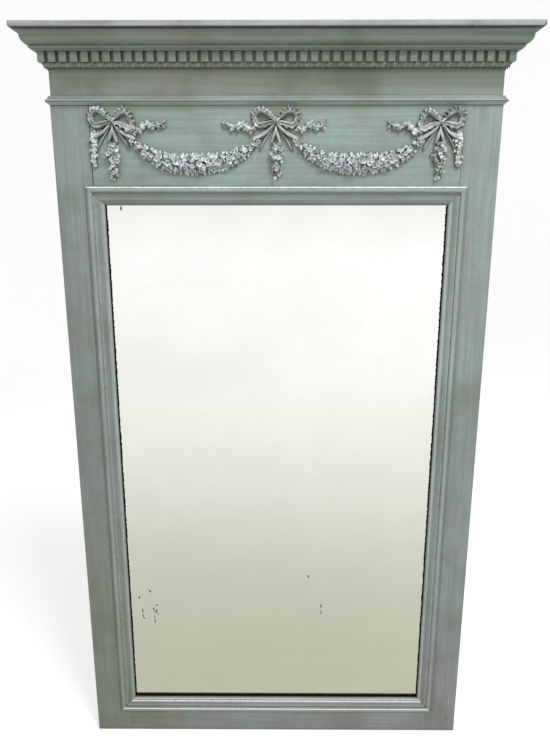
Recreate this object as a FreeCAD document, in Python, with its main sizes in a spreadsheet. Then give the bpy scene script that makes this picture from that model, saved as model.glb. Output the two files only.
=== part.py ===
"""Trumeau mirror: painted carcass, framed mirror plate, swag frieze and dentil cornice.

Millimetres. X runs along the width, +Y points to the wall, +Z is up. The origin is the middle of
the bottom edge on the wall face, so the carcass fills Y from -carcass_depth to 0 and everything
that shows faces -Y. A moulding's outline is given as (proud, height): proud is the distance in
front of the carcass face, or outside the carcass side on a return.
"""
import FreeCAD, Part
import math
import os

import Sketcher
from FreeCAD import Rotation, Vector

SIZES = {
    # carcass
    "body_width": 810.0,
    "carcass_depth": 28.0,
    "stile_width": 68.5,
    "rail_height": 65.7,
    "opening_height": 1112.3,
    "frieze_height": 162.0,
    "panel_thick": 20.0,
    "panel_gap": 0.3,
    "joint_gap": 0.1,
    "tenon_length": 40.0,
    "tenon_thick": 9.0,
    "tenon_shoulder": 10.0,
    "tongue_length": 8.0,
    "tongue_thick": 7.0,
    "peg_radius": 4.0,
    "peg_spacing": 24.0,
    "peg_inset": 20.0,
    "peg_length": 23.0,
    "dowel_radius": 5.0,
    "dowel_depth": 25.0,
    "dowel_spacing": 28.0,
    # glazing
    "moulding_width": 32.6,
    "moulding_lap": 14.5,
    "moulding_proud": 3.0,
    "sight_band": 12.2,
    "sight_step": 0.4,
    "sight_cove_radius": 22.0,
    "sight_bead": 6.4,
    "sight_bead_radius": 3.6,
    "sight_bead_edge": 1.6,
    "lip_depth": 6.0,
    "lip_back": 0.4,
    "slip_thick": 4.5,
    "slip_setback": 0.8,
    "plate_thick": 5.0,
    "plate_gap": 2.0,
    "block_length": 32.0,
    "block_width": 11.0,
    "plank_thick": 8.0,
    "plank_gap": 0.6,
    "plank_lap": 30.0,
    "rebate_width": 9.0,
    "nail_radius": 1.1,
    "nail_head_radius": 2.6,
    "nail_head_thick": 0.8,
    "nail_inset": 14.0,
    # cornice
    "board_height": 108.6,
    "board_setback": 1.5,
    "neck_height": 15.0,
    "neck_below": 7.0,
    "neck_proud": 7.0,
    "neck_root": 2.2,
    "neck_fillet": 1.6,
    "neck_nose": 1.5,
    "neck_hollow": 4.2,
    "neck_hollow_radius": 9.0,
    "neck_slope_radius": 11.0,
    "carved_height": 8.4,
    "carved_proud": 4.8,
    "carved_root": 1.2,
    "carved_radius": 8.5,
    "bed_height": 24.7,
    "bed_back_proud": 4.0,
    "bed_fillet_proud": 18.0,
    "bed_fillet_height": 2.7,
    "bed_bead_radius": 2.6,
    "bed_proud": 22.5,
    "bed_bead_top": 2.2,
    "dentil_height": 17.3,
    "dentil_width": 12.2,
    "dentil_pitch": 19.15,
    "dentil_proud": 12.0,
    "crown_height": 22.3,
    "crown_proud": 44.0,
    "crown_foot": 25.5,
    "crown_middle": 33.0,
    "crown_middle_height": 13.5,
    "crown_lower_radius": 13.0,
    "crown_upper_radius": 11.5,
    "crown_lip": 1.2,
    "top_thick": 8.9,
    "top_proud": 46.0,
    "top_edge": 0.8,
    "top_nail_pitch": 230.0,
    # ornament
    "bow_margin": 41.5,
    "knot_drop": 28.0,
    "knot_radius": 8.0,
    "knot_thick": 9.0,
    "loop_reach": 24.5,
    "loop_rise": 7.0,
    "loop_long": 17.5,
    "loop_short": 12.5,
    "loop_hole": 5.0,
    "loop_thick": 6.0,
    "tail_width": 7.0,
    "tail_thick": 3.5,
    "tail_reach": 21.0,
    "tail_length": 43.0,
    "swag_end_gap": 36.5,
    "swag_end_drop": 36.0,
    "swag_sag": 39.0,
    "swag_end_radius": 5.0,
    "swag_middle_radius": 18.0,
    "swag_thick": 12.0,
    "swag_step": 20.0,
    "pendant_top": 37.0,
    "pendant_length": 63.0,
    "pendant_radius": 13.0,
    "pendant_tip_radius": 4.0,
    "pendant_thick": 10.0,
    "spray_start": 47.0,
    "spray_length": 45.0,
    "spray_radius": 5.5,
    "spray_thick": 5.0,
    "drop_offset": 35.0,
    "drop_top": 17.0,
    "drop_length": 66.0,
    "drop_radius": 7.0,
    "drop_thick": 6.0,
    # hangers
    "hanger_height": 1085.0,
    "strap_width": 17.0,
    "strap_thick": 1.5,
    "strap_length": 50.0,
    "ring_wire_radius": 1.75,
    "ring_gap": 0.08,
    "ring_inner_width": 22.0,
    "ring_corner_radius": 3.0,
    "ring_leg": 6.0,
    "pocket_depth": 9.0,
    "pocket_margin": 3.0,
    "screw_radius": 1.9,
    "screw_head_radius": 3.6,
    "screw_head_depth": 1.4,
    "screw_length": 15.0,
    "screw_gap": 0.05,
    "screw_spacing": 17.0,
    "screw_inset": 9.0,
}


class Size:
    """A length that knows both its number and the spreadsheet expression that gives it."""

    def __init__(self, value, text):
        self.value = value
        self.text = text

    def _join(self, other, sign, work):
        other = other if isinstance(other, Size) else Size(float(other), repr(float(other)))
        return Size(work(self.value, other.value), f"({self.text} {sign} {other.text})")

    def __add__(self, other):
        return self._join(other, "+", lambda a, b: a + b)

    def __sub__(self, other):
        return self._join(other, "-", lambda a, b: a - b)

    def __mul__(self, other):
        return self._join(other, "*", lambda a, b: a * b)

    def __truediv__(self, other):
        return self._join(other, "/", lambda a, b: a / b)

    def __neg__(self):
        return Size(-self.value, f"(0 - {self.text})")


ZERO = Size(0.0, "0")


def sized(name):
    """The named size of the sheet."""
    return Size(SIZES[name], f"Sizes.{name}")


# ---- places worked out from the sizes ------------------------------------------------------------
HALF_WIDTH = sized("body_width") / 2
FRONT = -sized("carcass_depth")
OPENING_HALF = HALF_WIDTH - sized("stile_width")
OPENING_BOTTOM = sized("rail_height")
OPENING_TOP = OPENING_BOTTOM + sized("opening_height")
STILE_TOP = OPENING_TOP + sized("frieze_height")
MOULDING_INSIDE = sized("moulding_width") - sized("moulding_lap")
SIGHT_HALF = OPENING_HALF - MOULDING_INSIDE
SIGHT_BOTTOM = OPENING_BOTTOM + MOULDING_INSIDE
SIGHT_TOP = OPENING_TOP - MOULDING_INSIDE
PANEL_BACK = FRONT + sized("panel_thick")
LIP_BACK = FRONT + sized("lip_depth")
PLATE_FRONT = LIP_BACK + sized("slip_thick")
PLATE_BACK = PLATE_FRONT + sized("plate_thick")
PLANK_FRONT = -sized("plank_thick")
PLANK_BOTTOM = OPENING_BOTTOM - sized("plank_lap")
PLANK_TOP = OPENING_TOP + sized("plank_lap")
BOARD_TOP = STILE_TOP + sized("board_height")
CROWN_BOTTOM = BOARD_TOP - sized("crown_height")
BED_BOTTOM = CROWN_BOTTOM - sized("bed_height")
CARVED_BOTTOM = BED_BOTTOM - sized("carved_height")
DENTIL_TOP = BED_BOTTOM + sized("dentil_height")
NECK_BOTTOM = STILE_TOP - sized("neck_below")
NECK_TOP = NECK_BOTTOM + sized("neck_height")
HANGER_X = HALF_WIDTH - sized("stile_width") / 2
POCKET_FLOOR = -sized("pocket_depth")
BARREL_RADIUS = sized("ring_wire_radius") + sized("ring_gap") + sized("strap_thick")
HANGER_AXIS_Y = POCKET_FLOOR + BARREL_RADIUS
KNOT_Z = NECK_BOTTOM - sized("knot_drop")
BOW_SPACING = OPENING_HALF - sized("bow_margin")
MITRE_MARGIN = 2.0
NOTHING_CUT = 1e-3

# ---- shape factors without a length --------------------------------------------------------------
BOSS_LAP = 1.35          # spacing of a casting's bosses over their smallest radius
SWAG_THINNING = 2.3      # how suddenly a swag thins towards its ends
SWAG_FLATNESS = 3.0      # 2 is a parabola, more is flatter in the middle
DROP_TAPER = 0.6         # a drop's last boss over its first
DROP_SWAY = 0.3          # how far a drop sways, over its radius

document = FreeCAD.newDocument("TrumeauMirror")
pieces = {}


def make_sheet():
    """Put every driving dimension in the spreadsheet under its alias."""
    sheet = document.addObject("Spreadsheet::Sheet", "Sizes")
    for row, (name, value) in enumerate(SIZES.items(), start=1):
        sheet.set(f"A{row}", name)
        sheet.set(f"B{row}", str(value))
        sheet.setAlias(f"B{row}", name)
    document.recompute()


def bind(target, prop, size):
    """Give a property the number of a size and tie it to the sheet."""
    if "." not in prop and "[" not in prop:
        setattr(target, prop, size.value)
    target.setExpression(prop, size.text)


def keep(name, shape_object):
    """Name a finished sub-part."""
    shape_object.Label = name
    pieces[name] = shape_object
    return shape_object


# ---- bodies made from sketches -------------------------------------------------------------------
def new_body(name):
    """An empty body for one sub-part."""
    return document.addObject("PartDesign::Body", f"{name}_body")


def new_sketch(body, role, offset):
    """A sketch on one of the body's origin planes, moved along the plane's normal."""
    sketch = body.newObject("Sketcher::SketchObject", f"{body.Name}_sketch")
    plane = [item for item in body.Origin.OriginFeatures if item.Role == role][0]
    sketch.AttachmentSupport = [(plane, "")]
    sketch.MapMode = "FlatFace"
    sketch.AttachmentOffset = FreeCAD.Placement(Vector(0, 0, offset.value), Rotation())
    sketch.setExpression("AttachmentOffset.Base.z", offset.text)
    return sketch


def place_point(sketch, edge, end, point):
    """Hold one end of an edge at (across, up) from the sketch's origin."""
    for kind, size in (("DistanceX", point[0]), ("DistanceY", point[1])):
        index = sketch.addConstraint(Sketcher.Constraint(kind, -1, 1, edge, end, size.value))
        sketch.setExpression(f"Constraints[{index}]", size.text)


def arc_between(start, end, radius, turn):
    """Arc of a circle from start to end; turn is +1 anticlockwise and -1 clockwise."""
    across = Vector(end[0].value - start[0].value, end[1].value - start[1].value, 0)
    middle = Vector(start[0].value, start[1].value, 0) + across / 2
    half = across.Length / 2
    reach = math.sqrt(max(radius.value ** 2 - half ** 2, 0.0))
    side = Vector(-across.y, across.x, 0).normalize()
    centre = middle + side * reach * turn
    first, last = (start, end) if turn > 0 else (end, start)
    angles = [math.atan2(p[1].value - centre.y, p[0].value - centre.x) for p in (first, last)]
    circle = Part.Circle(centre, Vector(0, 0, 1), radius.value)
    return Part.ArcOfCircle(circle, angles[0], angles[1])


def draw_outline(sketch, steps):
    """Closed outline: each step is (point,) for a line or (point, radius, turn) for an arc to it."""
    count = len(steps)
    ends = []
    for number in range(count):
        start = steps[number - 1][0]
        step = steps[number]
        if len(step) == 1:
            line = Part.LineSegment(Vector(start[0].value, start[1].value, 0),
                                    Vector(step[0][0].value, step[0][1].value, 0))
            ends.append((sketch.addGeometry(line), 1, 2))
            continue
        edge = sketch.addGeometry(arc_between(start, step[0], step[1], step[2]))
        ends.append((edge, 1, 2) if step[2] > 0 else (edge, 2, 1))
        index = sketch.addConstraint(Sketcher.Constraint("Radius", edge, step[1].value))
        sketch.setExpression(f"Constraints[{index}]", step[1].text)
    for number in range(count):
        edge, _, end = ends[number]
        following, start, _ = ends[(number + 1) % count]
        sketch.addConstraint(Sketcher.Constraint("Coincident", edge, end, following, start))
        place_point(sketch, edge, end, steps[number][0])


def rectangle(low, high):
    """Outline steps of a rectangle between two corners."""
    return [((high[0], low[1]),), (high,), ((low[0], high[1]),), (low,)]


def draw_circle(sketch, centre, radius):
    """A circle held by its centre and radius."""
    edge = sketch.addGeometry(Part.Circle(Vector(centre[0].value, centre[1].value, 0),
                                          Vector(0, 0, 1), radius.value))
    place_point(sketch, edge, 3, centre)
    index = sketch.addConstraint(Sketcher.Constraint("Radius", edge, radius.value))
    sketch.setExpression(f"Constraints[{index}]", radius.text)


def pad(body, sketch, length, symmetric=False):
    """Raise the sketch along its normal, or to both sides of its plane."""
    feature = body.newObject("PartDesign::Pad", f"{body.Name}_pad")
    feature.Profile = sketch
    bind(feature, "Length", length)
    feature.SideType = "Symmetric" if symmetric else "One side"
    return feature


def cut(body, sketch, length=None):
    """Cut the sketch down from its plane by a length, or right through to both sides."""
    document.recompute()
    before = body.Shape.Volume
    feature = body.newObject("PartDesign::Pocket", f"{body.Name}_pocket")
    feature.Profile = sketch
    if length is None:
        feature.SideType = "Symmetric"
        feature.Type = "ThroughAll"
    else:
        bind(feature, "Length", length)
    document.recompute()
    if before - body.Shape.Volume < NOTHING_CUT:
        raise RuntimeError(f"{feature.Name} cuts nothing")
    return feature


def pad_block(body, low, high):
    """Add a block between two corners."""
    sketch = new_sketch(body, "XY_Plane", low[2])
    draw_outline(sketch, rectangle(low[:2], high[:2]))
    return pad(body, sketch, high[2] - low[2])


def cut_block(body, low, high):
    """Cut the block between two corners away."""
    sketch = new_sketch(body, "XY_Plane", high[2])
    draw_outline(sketch, rectangle(low[:2], high[:2]))
    return cut(body, sketch, high[2] - low[2])


def cut_back_holes(body, places, radius, depth):
    """Round holes from the wall face forward, at (x, z) places."""
    sketch = new_sketch(body, "XZ_Plane", ZERO)
    for place in places:
        draw_circle(sketch, place, radius)
    feature = cut_reversed(body, sketch, depth)
    return feature


def cut_reversed(body, sketch, length):
    """Cut the sketch up from its plane, along its normal."""
    document.recompute()
    before = body.Shape.Volume
    feature = body.newObject("PartDesign::Pocket", f"{body.Name}_pocket")
    feature.Profile = sketch
    bind(feature, "Length", length)
    feature.Reversed = True
    document.recompute()
    if before - body.Shape.Volume < NOTHING_CUT:
        raise RuntimeError(f"{feature.Name} cuts nothing")
    return feature


def mirror_piece(name, source):
    """The same piece on the other side of the middle plane."""
    mirrored = document.addObject("Part::Mirroring", f"{name}_mirror")
    mirrored.Source = source
    mirrored.Normal = Vector(1, 0, 0)
    mirrored.Base = Vector(0, 0, 0)
    return keep(name, mirrored)


def solids_piece(name, solids):
    """A sub-part set from ready solids, one or a group of separate ones."""
    piece = document.addObject("Part::Feature", f"{name}_shape")
    piece.Shape = solids[0] if len(solids) == 1 else Part.makeCompound(solids)
    piece.Placement = FreeCAD.Placement()
    return keep(name, piece)


# ---- carcass -------------------------------------------------------------------------------------
def make_stiles():
    """Stiles with the plank rebate, panel groove, rail mortise, hanger pocket and joint holes."""
    gap = sized("joint_gap")
    stile = new_body("stile_right")
    pad_block(stile, (OPENING_HALF, FRONT, ZERO), (HALF_WIDTH, ZERO, STILE_TOP))
    cut_block(stile, (OPENING_HALF, PLANK_FRONT, PLANK_BOTTOM),
              (OPENING_HALF + sized("rebate_width"), ZERO, PLANK_TOP))
    middle = (FRONT + PANEL_BACK) / 2
    tongue = sized("tongue_thick") / 2 + gap
    cut_block(stile, (OPENING_HALF, middle - tongue, OPENING_TOP),
              (OPENING_HALF + sized("tongue_length") + gap, middle + tongue, STILE_TOP))
    tenon = sized("tenon_thick") / 2 + gap
    cut_block(stile, (OPENING_HALF, middle - tenon, sized("tenon_shoulder") - gap),
              (OPENING_HALF + sized("tenon_length") + gap, middle + tenon,
               OPENING_BOTTOM - sized("tenon_shoulder") + gap))
    cut_back_holes(stile, peg_places(), sized("peg_radius") + gap, sized("peg_length") + gap)
    pocket_half = sized("ring_inner_width") / 2 + sized("ring_wire_radius") * 2 + sized("pocket_margin")
    ring_reach = ring_height() + sized("ring_wire_radius") + sized("pocket_margin")
    pocket = new_sketch(stile, "XZ_Plane", ZERO)
    draw_outline(pocket, rectangle(
        (HANGER_X - pocket_half, sized("hanger_height") - sized("strap_length") - sized("pocket_margin")),
        (HANGER_X + pocket_half, sized("hanger_height") + ring_reach)))
    cut_reversed(stile, pocket, sized("pocket_depth"))
    screws = new_sketch(stile, "XZ_Plane", ZERO)
    for height in screw_heights():
        draw_circle(screws, (HANGER_X, height), sized("screw_radius") + sized("screw_gap"))
    cut_reversed(stile, screws, sized("pocket_depth") + sized("screw_length"))
    sockets = new_sketch(stile, "XY_Plane", STILE_TOP)
    for across in dowel_places():
        draw_circle(sockets, (across, FRONT / 2), sized("dowel_radius") + gap)
    cut(stile, sockets, sized("dowel_depth") + gap)
    keep("stile_right", stile)
    mirror_piece("stile_left", stile)


def peg_places():
    """Where the pegs of the right-hand rail joint stand, as (x, z)."""
    across = OPENING_HALF + sized("peg_inset")
    middle = OPENING_BOTTOM / 2
    return [(across, middle - sized("peg_spacing") / 2), (across, middle + sized("peg_spacing") / 2)]


def dowel_places():
    """How far out the dowels of the right-hand stile stand."""
    return [HANGER_X - sized("dowel_spacing") / 2, HANGER_X + sized("dowel_spacing") / 2]


def make_bottom_rail():
    """Bottom rail with a pegged tenon at each end and a rebate for the planks' lower ends."""
    rail = new_body("bottom_rail")
    pad_block(rail, (-OPENING_HALF, FRONT, ZERO), (OPENING_HALF, ZERO, OPENING_BOTTOM))
    cut_block(rail, (-OPENING_HALF, PLANK_FRONT, PLANK_BOTTOM),
              (OPENING_HALF, ZERO, OPENING_BOTTOM))
    middle = (FRONT + PANEL_BACK) / 2
    half = sized("tenon_thick") / 2
    reach = OPENING_HALF + sized("tenon_length")
    pad_block(rail, (-reach, middle - half, sized("tenon_shoulder")),
              (reach, middle + half, OPENING_BOTTOM - sized("tenon_shoulder")))
    radius = sized("peg_radius") + sized("joint_gap")
    places = peg_places() + [(-across, height) for across, height in peg_places()]
    cut_back_holes(rail, places, radius, sized("peg_length") + sized("joint_gap"))
    keep("bottom_rail", rail)


def make_frieze_panel():
    """Panel between the stiles that carries the ornament, with a tongue along each side."""
    panel = new_body("frieze_panel")
    half = OPENING_HALF - sized("panel_gap")
    pad_block(panel, (-half, FRONT, OPENING_TOP), (half, PANEL_BACK, STILE_TOP))
    middle = (FRONT + PANEL_BACK) / 2
    tongue = sized("tongue_thick") / 2
    reach = OPENING_HALF + sized("tongue_length")
    pad_block(panel, (-reach, middle - tongue, OPENING_TOP), (reach, middle + tongue, STILE_TOP))
    keep("frieze_panel", panel)


def make_frieze_board():
    """Board above the neck moulding; it stands on the stiles and carries the cornice."""
    board = new_body("frieze_board")
    setback = sized("board_setback")
    half = HALF_WIDTH - setback
    pad_block(board, (-half, FRONT + setback, STILE_TOP), (half, ZERO, BOARD_TOP))
    sockets = new_sketch(board, "XY_Plane", STILE_TOP)
    for across in dowel_places():
        for place in (across, -across):
            draw_circle(sockets, (place, FRONT / 2), sized("dowel_radius") + sized("joint_gap"))
    cut_reversed(board, sockets, sized("dowel_depth") + sized("joint_gap"))
    keep("frieze_board", board)


def make_pegs_and_dowels():
    """Draw pegs of the rail's tenons and dowels between the stiles and the frieze board."""
    pegs = []
    for across, height in peg_places():
        for side in (1, -1):
            pegs.append(Part.makeCylinder(SIZES["peg_radius"], SIZES["peg_length"],
                                          Vector(across.value * side, 0, height.value),
                                          Vector(0, -1, 0)))
    solids_piece("tenon_pegs", pegs)
    dowels = []
    for across in dowel_places():
        for side in (1, -1):
            dowels.append(Part.makeCylinder(SIZES["dowel_radius"], SIZES["dowel_depth"] * 2,
                                            Vector(across.value * side, FRONT.value / 2,
                                                   STILE_TOP.value - SIZES["dowel_depth"])))
    solids_piece("board_dowels", dowels)


# ---- mouldings -----------------------------------------------------------------------------------
def laid(profile, place, turned):
    """Put a profile's own points on a sketch; turned is -1 where the placing mirrors it."""
    steps = []
    for step in profile:
        point = place(step[0])
        steps.append((point,) if len(step) == 1 else (point, step[1], step[2] * turned))
    return steps


def on_front(point):
    """A (proud, height) point on the YZ plane, in front of the carcass."""
    return (FRONT - point[0], point[1])


def on_side(point):
    """A (proud, height) point on the XZ plane, outside the right-hand side."""
    return (HALF_WIDTH + point[0], point[1])


def cut_triangle(body, role, corners):
    """Cut a triangular prism right through the body."""
    sketch = new_sketch(body, role, ZERO)
    draw_outline(sketch, [(corner,) for corner in corners])
    return cut(body, sketch)


def make_run(name, profile, proud):
    """One moulding of the cornice: a front length and two returns, mitred at the corners."""
    reach = proud + MITRE_MARGIN
    front = new_body(f"{name}_front")
    sketch = new_sketch(front, "YZ_Plane", ZERO)
    draw_outline(sketch, laid(profile, on_front, -1))
    pad(front, sketch, (HALF_WIDTH + proud) * 2, symmetric=True)
    outer = (HALF_WIDTH + reach, FRONT - reach)
    inner = (HALF_WIDTH - reach, FRONT + reach)
    cut_triangle(front, "XY_Plane", [inner, outer, (outer[0], inner[1])])
    cut_triangle(front, "XY_Plane", [(-inner[0], inner[1]), (-outer[0], inner[1]),
                                     (-outer[0], outer[1])])
    keep(f"{name}_front", front)
    side = new_body(f"{name}_right")
    sketch = new_sketch(side, "XZ_Plane", ZERO)
    draw_outline(sketch, laid(profile, on_side, 1))
    pad(side, sketch, proud - FRONT)
    cut_triangle(side, "XY_Plane", [inner, (inner[0], outer[1]), outer])
    keep(f"{name}_right", side)
    mirror_piece(f"{name}_left", side)


def neck_profile():
    """Nosing over the joint of stiles and frieze board, stepped back above the joint."""
    root = sized("neck_root")
    nose = sized("neck_proud")
    fillet = sized("neck_fillet")
    nose_bottom = NECK_BOTTOM + fillet + sized("neck_hollow")
    nose_top = nose_bottom + sized("neck_nose")
    return [
        ((root, NECK_BOTTOM),),
        ((root, NECK_BOTTOM + fillet),),
        ((nose, nose_bottom), sized("neck_hollow_radius"), 1),
        ((nose, nose_top),),
        ((root, NECK_TOP - fillet), sized("neck_slope_radius"), -1),
        ((root, NECK_TOP),),
        ((-sized("board_setback"), NECK_TOP),),
        ((-sized("board_setback"), STILE_TOP),),
        ((ZERO, STILE_TOP),),
        ((ZERO, NECK_BOTTOM),),
    ]


def carved_profile():
    """Small ovolo under the dentils; its leaves are carved into the round."""
    back = -sized("board_setback")
    return [
        ((sized("carved_root"), CARVED_BOTTOM),),
        ((sized("carved_proud"), BED_BOTTOM), sized("carved_radius"), 1),
        ((back, BED_BOTTOM),),
        ((back, CARVED_BOTTOM),),
    ]


def bed_profile():
    """Dentil ground with a fillet and a bead above the dentils."""
    back = -sized("board_setback")
    ground = sized("bed_back_proud")
    fillet = sized("bed_fillet_proud")
    fillet_top = DENTIL_TOP + sized("bed_fillet_height")
    bead_top = CROWN_BOTTOM - sized("bed_bead_top")
    return [
        ((ground, BED_BOTTOM),),
        ((ground, DENTIL_TOP),),
        ((fillet, DENTIL_TOP),),
        ((fillet, fillet_top),),
        ((sized("bed_proud"), bead_top), sized("bed_bead_radius"), 1),
        ((sized("bed_proud"), CROWN_BOTTOM),),
        ((back, CROWN_BOTTOM),),
        ((back, BED_BOTTOM),),
    ]


def crown_profile():
    """Cyma: round below, hollow above, with a small lip under the top board."""
    back = -sized("board_setback")
    lip_bottom = BOARD_TOP - sized("crown_lip")
    return [
        ((sized("crown_foot"), CROWN_BOTTOM),),
        ((sized("crown_middle"), CROWN_BOTTOM + sized("crown_middle_height")),
         sized("crown_lower_radius"), 1),
        ((sized("crown_proud"), lip_bottom), sized("crown_upper_radius"), -1),
        ((sized("crown_proud"), BOARD_TOP),),
        ((back, BOARD_TOP),),
        ((back, CROWN_BOTTOM),),
    ]


def make_cornice():
    """Every run of the cornice, its dentils and the top board."""
    make_run("neck_moulding", neck_profile(), sized("neck_proud"))
    make_run("carved_moulding", carved_profile(), sized("carved_proud"))
    make_run("bed_moulding", bed_profile(), sized("bed_proud"))
    make_run("crown_moulding", crown_profile(), sized("crown_proud"))
    make_dentils()
    make_top_board()


def make_dentils():
    """Dentil blocks glued to the ground: a front row from corner to corner, and two returns."""
    ground = sized("bed_back_proud")
    proud = sized("dentil_proud")
    width = sized("dentil_width")
    corner = HALF_WIDTH + proud
    gaps = round((corner - width / 2).value * 2 / SIZES["dentil_pitch"])
    pitch = (corner * 2 - width) / float(gaps)
    front = new_body("dentils_front")
    face = FRONT - proud
    block = pad_block(front, (-corner + pitch, face, BED_BOTTOM),
                      (-corner + pitch + width, FRONT - ground, DENTIL_TOP))
    repeat_along(front, block, "X_Axis", pitch, gaps - 1)
    for side in (1.0, -1.0):
        outer = corner * side
        inner = (corner - width) * side
        ground_side = (HALF_WIDTH + ground) * side
        sketch = new_sketch(front, "XY_Plane", BED_BOTTOM)
        draw_outline(sketch, [((inner, FRONT - ground),), ((inner, face),), ((outer, face),),
                              ((outer, face + width),), ((ground_side, face + width),),
                              ((ground_side, FRONT - ground),)])
        pad(front, sketch, sized("dentil_height"))
    keep("dentils_front", front)
    side = new_body("dentils_right")
    first = face + pitch
    count = int((width - pitch - first).value // -pitch.value)
    block = pad_block(side, (HALF_WIDTH + ground, first, BED_BOTTOM),
                      (corner, first + width, DENTIL_TOP))
    repeat_along(side, block, "Y_Axis", pitch, max(count, 1))
    keep("dentils_right", side)
    mirror_piece("dentils_left", side)


def repeat_along(body, block, role, pitch, count):
    """Repeat one block of the body along an origin axis."""
    body.AllowCompound = True
    document.recompute()
    feature = body.newObject("PartDesign::LinearPattern", f"{body.Name}_row")
    feature.Originals = [block]
    axis = [item for item in body.Origin.OriginFeatures if item.Role == role][0]
    feature.Direction = (axis, [""])
    feature.Mode = "Spacing"
    bind(feature, "Offset", pitch)
    feature.Occurrences = count
    body.Tip = feature


def make_top_board():
    """Flat board over the crown, its top edges eased, and the nails that hold it."""
    board = new_body("top_board")
    reach = HALF_WIDTH + sized("top_proud")
    top = BOARD_TOP + sized("top_thick")
    blank = pad_block(board, (-reach, FRONT - sized("top_proud"), BOARD_TOP), (reach, ZERO, top))
    document.recompute()
    eased = []
    for number, edge in enumerate(blank.Shape.Edges, start=1):
        heights = [vertex.Point.z for vertex in edge.Vertexes]
        wall_edge = max(abs(vertex.Point.y) for vertex in edge.Vertexes) < NOTHING_CUT
        if max(heights) - min(heights) < NOTHING_CUT and not wall_edge:
            eased.append(f"Edge{number}")
    chamfer = board.newObject("PartDesign::Chamfer", "top_board_edges")
    chamfer.Base = (blank, eased)
    bind(chamfer, "Size", sized("top_edge"))
    sockets = new_sketch(board, "XY_Plane", top)
    for place in top_nail_places():
        draw_circle(sockets, place, sized("nail_head_radius") + sized("screw_gap"))
    cut(board, sockets, sized("nail_head_thick"))
    shanks = new_sketch(board, "XY_Plane", top)
    for place in top_nail_places():
        draw_circle(shanks, place, sized("nail_radius") + sized("screw_gap"))
    cut(board, shanks, sized("top_thick"))
    keep("top_board", board)
    nails = [nail(Vector(x.value, y.value, top.value), Vector(0, 0, -1), SIZES["top_thick"])
             for x, y in top_nail_places()]
    solids_piece("top_board_nails", nails)


def top_nail_places():
    """Nails of the top board stand in a row over the frieze board."""
    row = []
    for number in (-1.5, -0.5, 0.5, 1.5):
        row.append((sized("top_nail_pitch") * number, FRONT / 2))
    return row


def nail(head_at, way, length):
    """Flat-headed nail driven from its head along a direction."""
    head = Part.makeCylinder(SIZES["nail_head_radius"], SIZES["nail_head_thick"], head_at, way)
    shank = Part.makeCylinder(SIZES["nail_radius"], length, head_at, way)
    return head.fuse(shank).removeSplitter()


# ---- glazing -------------------------------------------------------------------------------------
def sight_profile():
    """Bolection moulding as (out, proud): band, hollow, bead and a rebate over the carcass edge."""
    proud = sized("moulding_proud")
    width = sized("moulding_width")
    lip = -sized("lip_depth")
    rebate = MOULDING_INSIDE - sized("lip_back")
    bead_top = lip + sized("sight_bead_radius")
    return [
        ((width, ZERO),),
        ((width, proud),),
        ((width - sized("sight_band"), proud),),
        ((width - sized("sight_band"), sized("sight_step")),),
        ((sized("sight_bead"), bead_top), sized("sight_cove_radius"), 1),
        ((ZERO, lip + sized("sight_bead_edge")), sized("sight_bead_radius"), 1),
        ((ZERO, lip),),
        ((rebate, lip),),
        ((rebate, ZERO),),
    ]


def make_sight_mouldings():
    """Four mitred lengths of the moulding round the glass."""
    width = sized("moulding_width")
    margin = MITRE_MARGIN

    def above(point):
        return (FRONT - point[1], SIGHT_TOP + point[0])

    def below(point):
        return (FRONT - point[1], SIGHT_BOTTOM - point[0])

    def beside(point):
        return (SIGHT_HALF + point[0], FRONT - point[1])

    near = SIGHT_HALF - margin
    far = SIGHT_HALF + width + margin
    for name, place, turned, level, up in (("top", above, 1, SIGHT_TOP, 1.0),
                                           ("bottom", below, -1, SIGHT_BOTTOM, -1.0)):
        body = new_body(f"sight_moulding_{name}")
        sketch = new_sketch(body, "YZ_Plane", ZERO)
        draw_outline(sketch, laid(sight_profile(), place, turned))
        pad(body, sketch, (SIGHT_HALF + width) * 2, symmetric=True)
        inside = level - margin * up
        outside = level + (width + margin) * up
        cut_triangle(body, "XZ_Plane", [(near, inside), (far, inside), (far, outside)])
        cut_triangle(body, "XZ_Plane", [(-near, inside), (-far, outside), (-far, inside)])
        keep(f"sight_moulding_{name}", body)
    side = new_body("sight_moulding_right")
    sketch = new_sketch(side, "XY_Plane", SIGHT_BOTTOM - width)
    draw_outline(sketch, laid(sight_profile(), beside, -1))
    pad(side, sketch, SIGHT_TOP - SIGHT_BOTTOM + width * 2)
    for level, up in ((SIGHT_TOP, 1.0), (SIGHT_BOTTOM, -1.0)):
        inside = level - margin * up
        outside = level + (width + margin) * up
        cut_triangle(side, "XZ_Plane", [(near, inside), (near, outside), (far, outside)])
    keep("sight_moulding_right", side)
    mirror_piece("sight_moulding_left", side)


def make_box(name, low, high):
    """A plain block between two corners, bound to the sheet."""
    box = document.addObject("Part::Box", f"{name}_box")
    for prop, size in zip(("Length", "Width", "Height"), [b - a for a, b in zip(low, high)]):
        bind(box, prop, size)
    box.Placement = FreeCAD.Placement(Vector(*[size.value for size in low]), Rotation())
    for axis, size in zip("xyz", low):
        box.setExpression(f"Placement.Base.{axis}", size.text)
    return keep(name, box)


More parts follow.
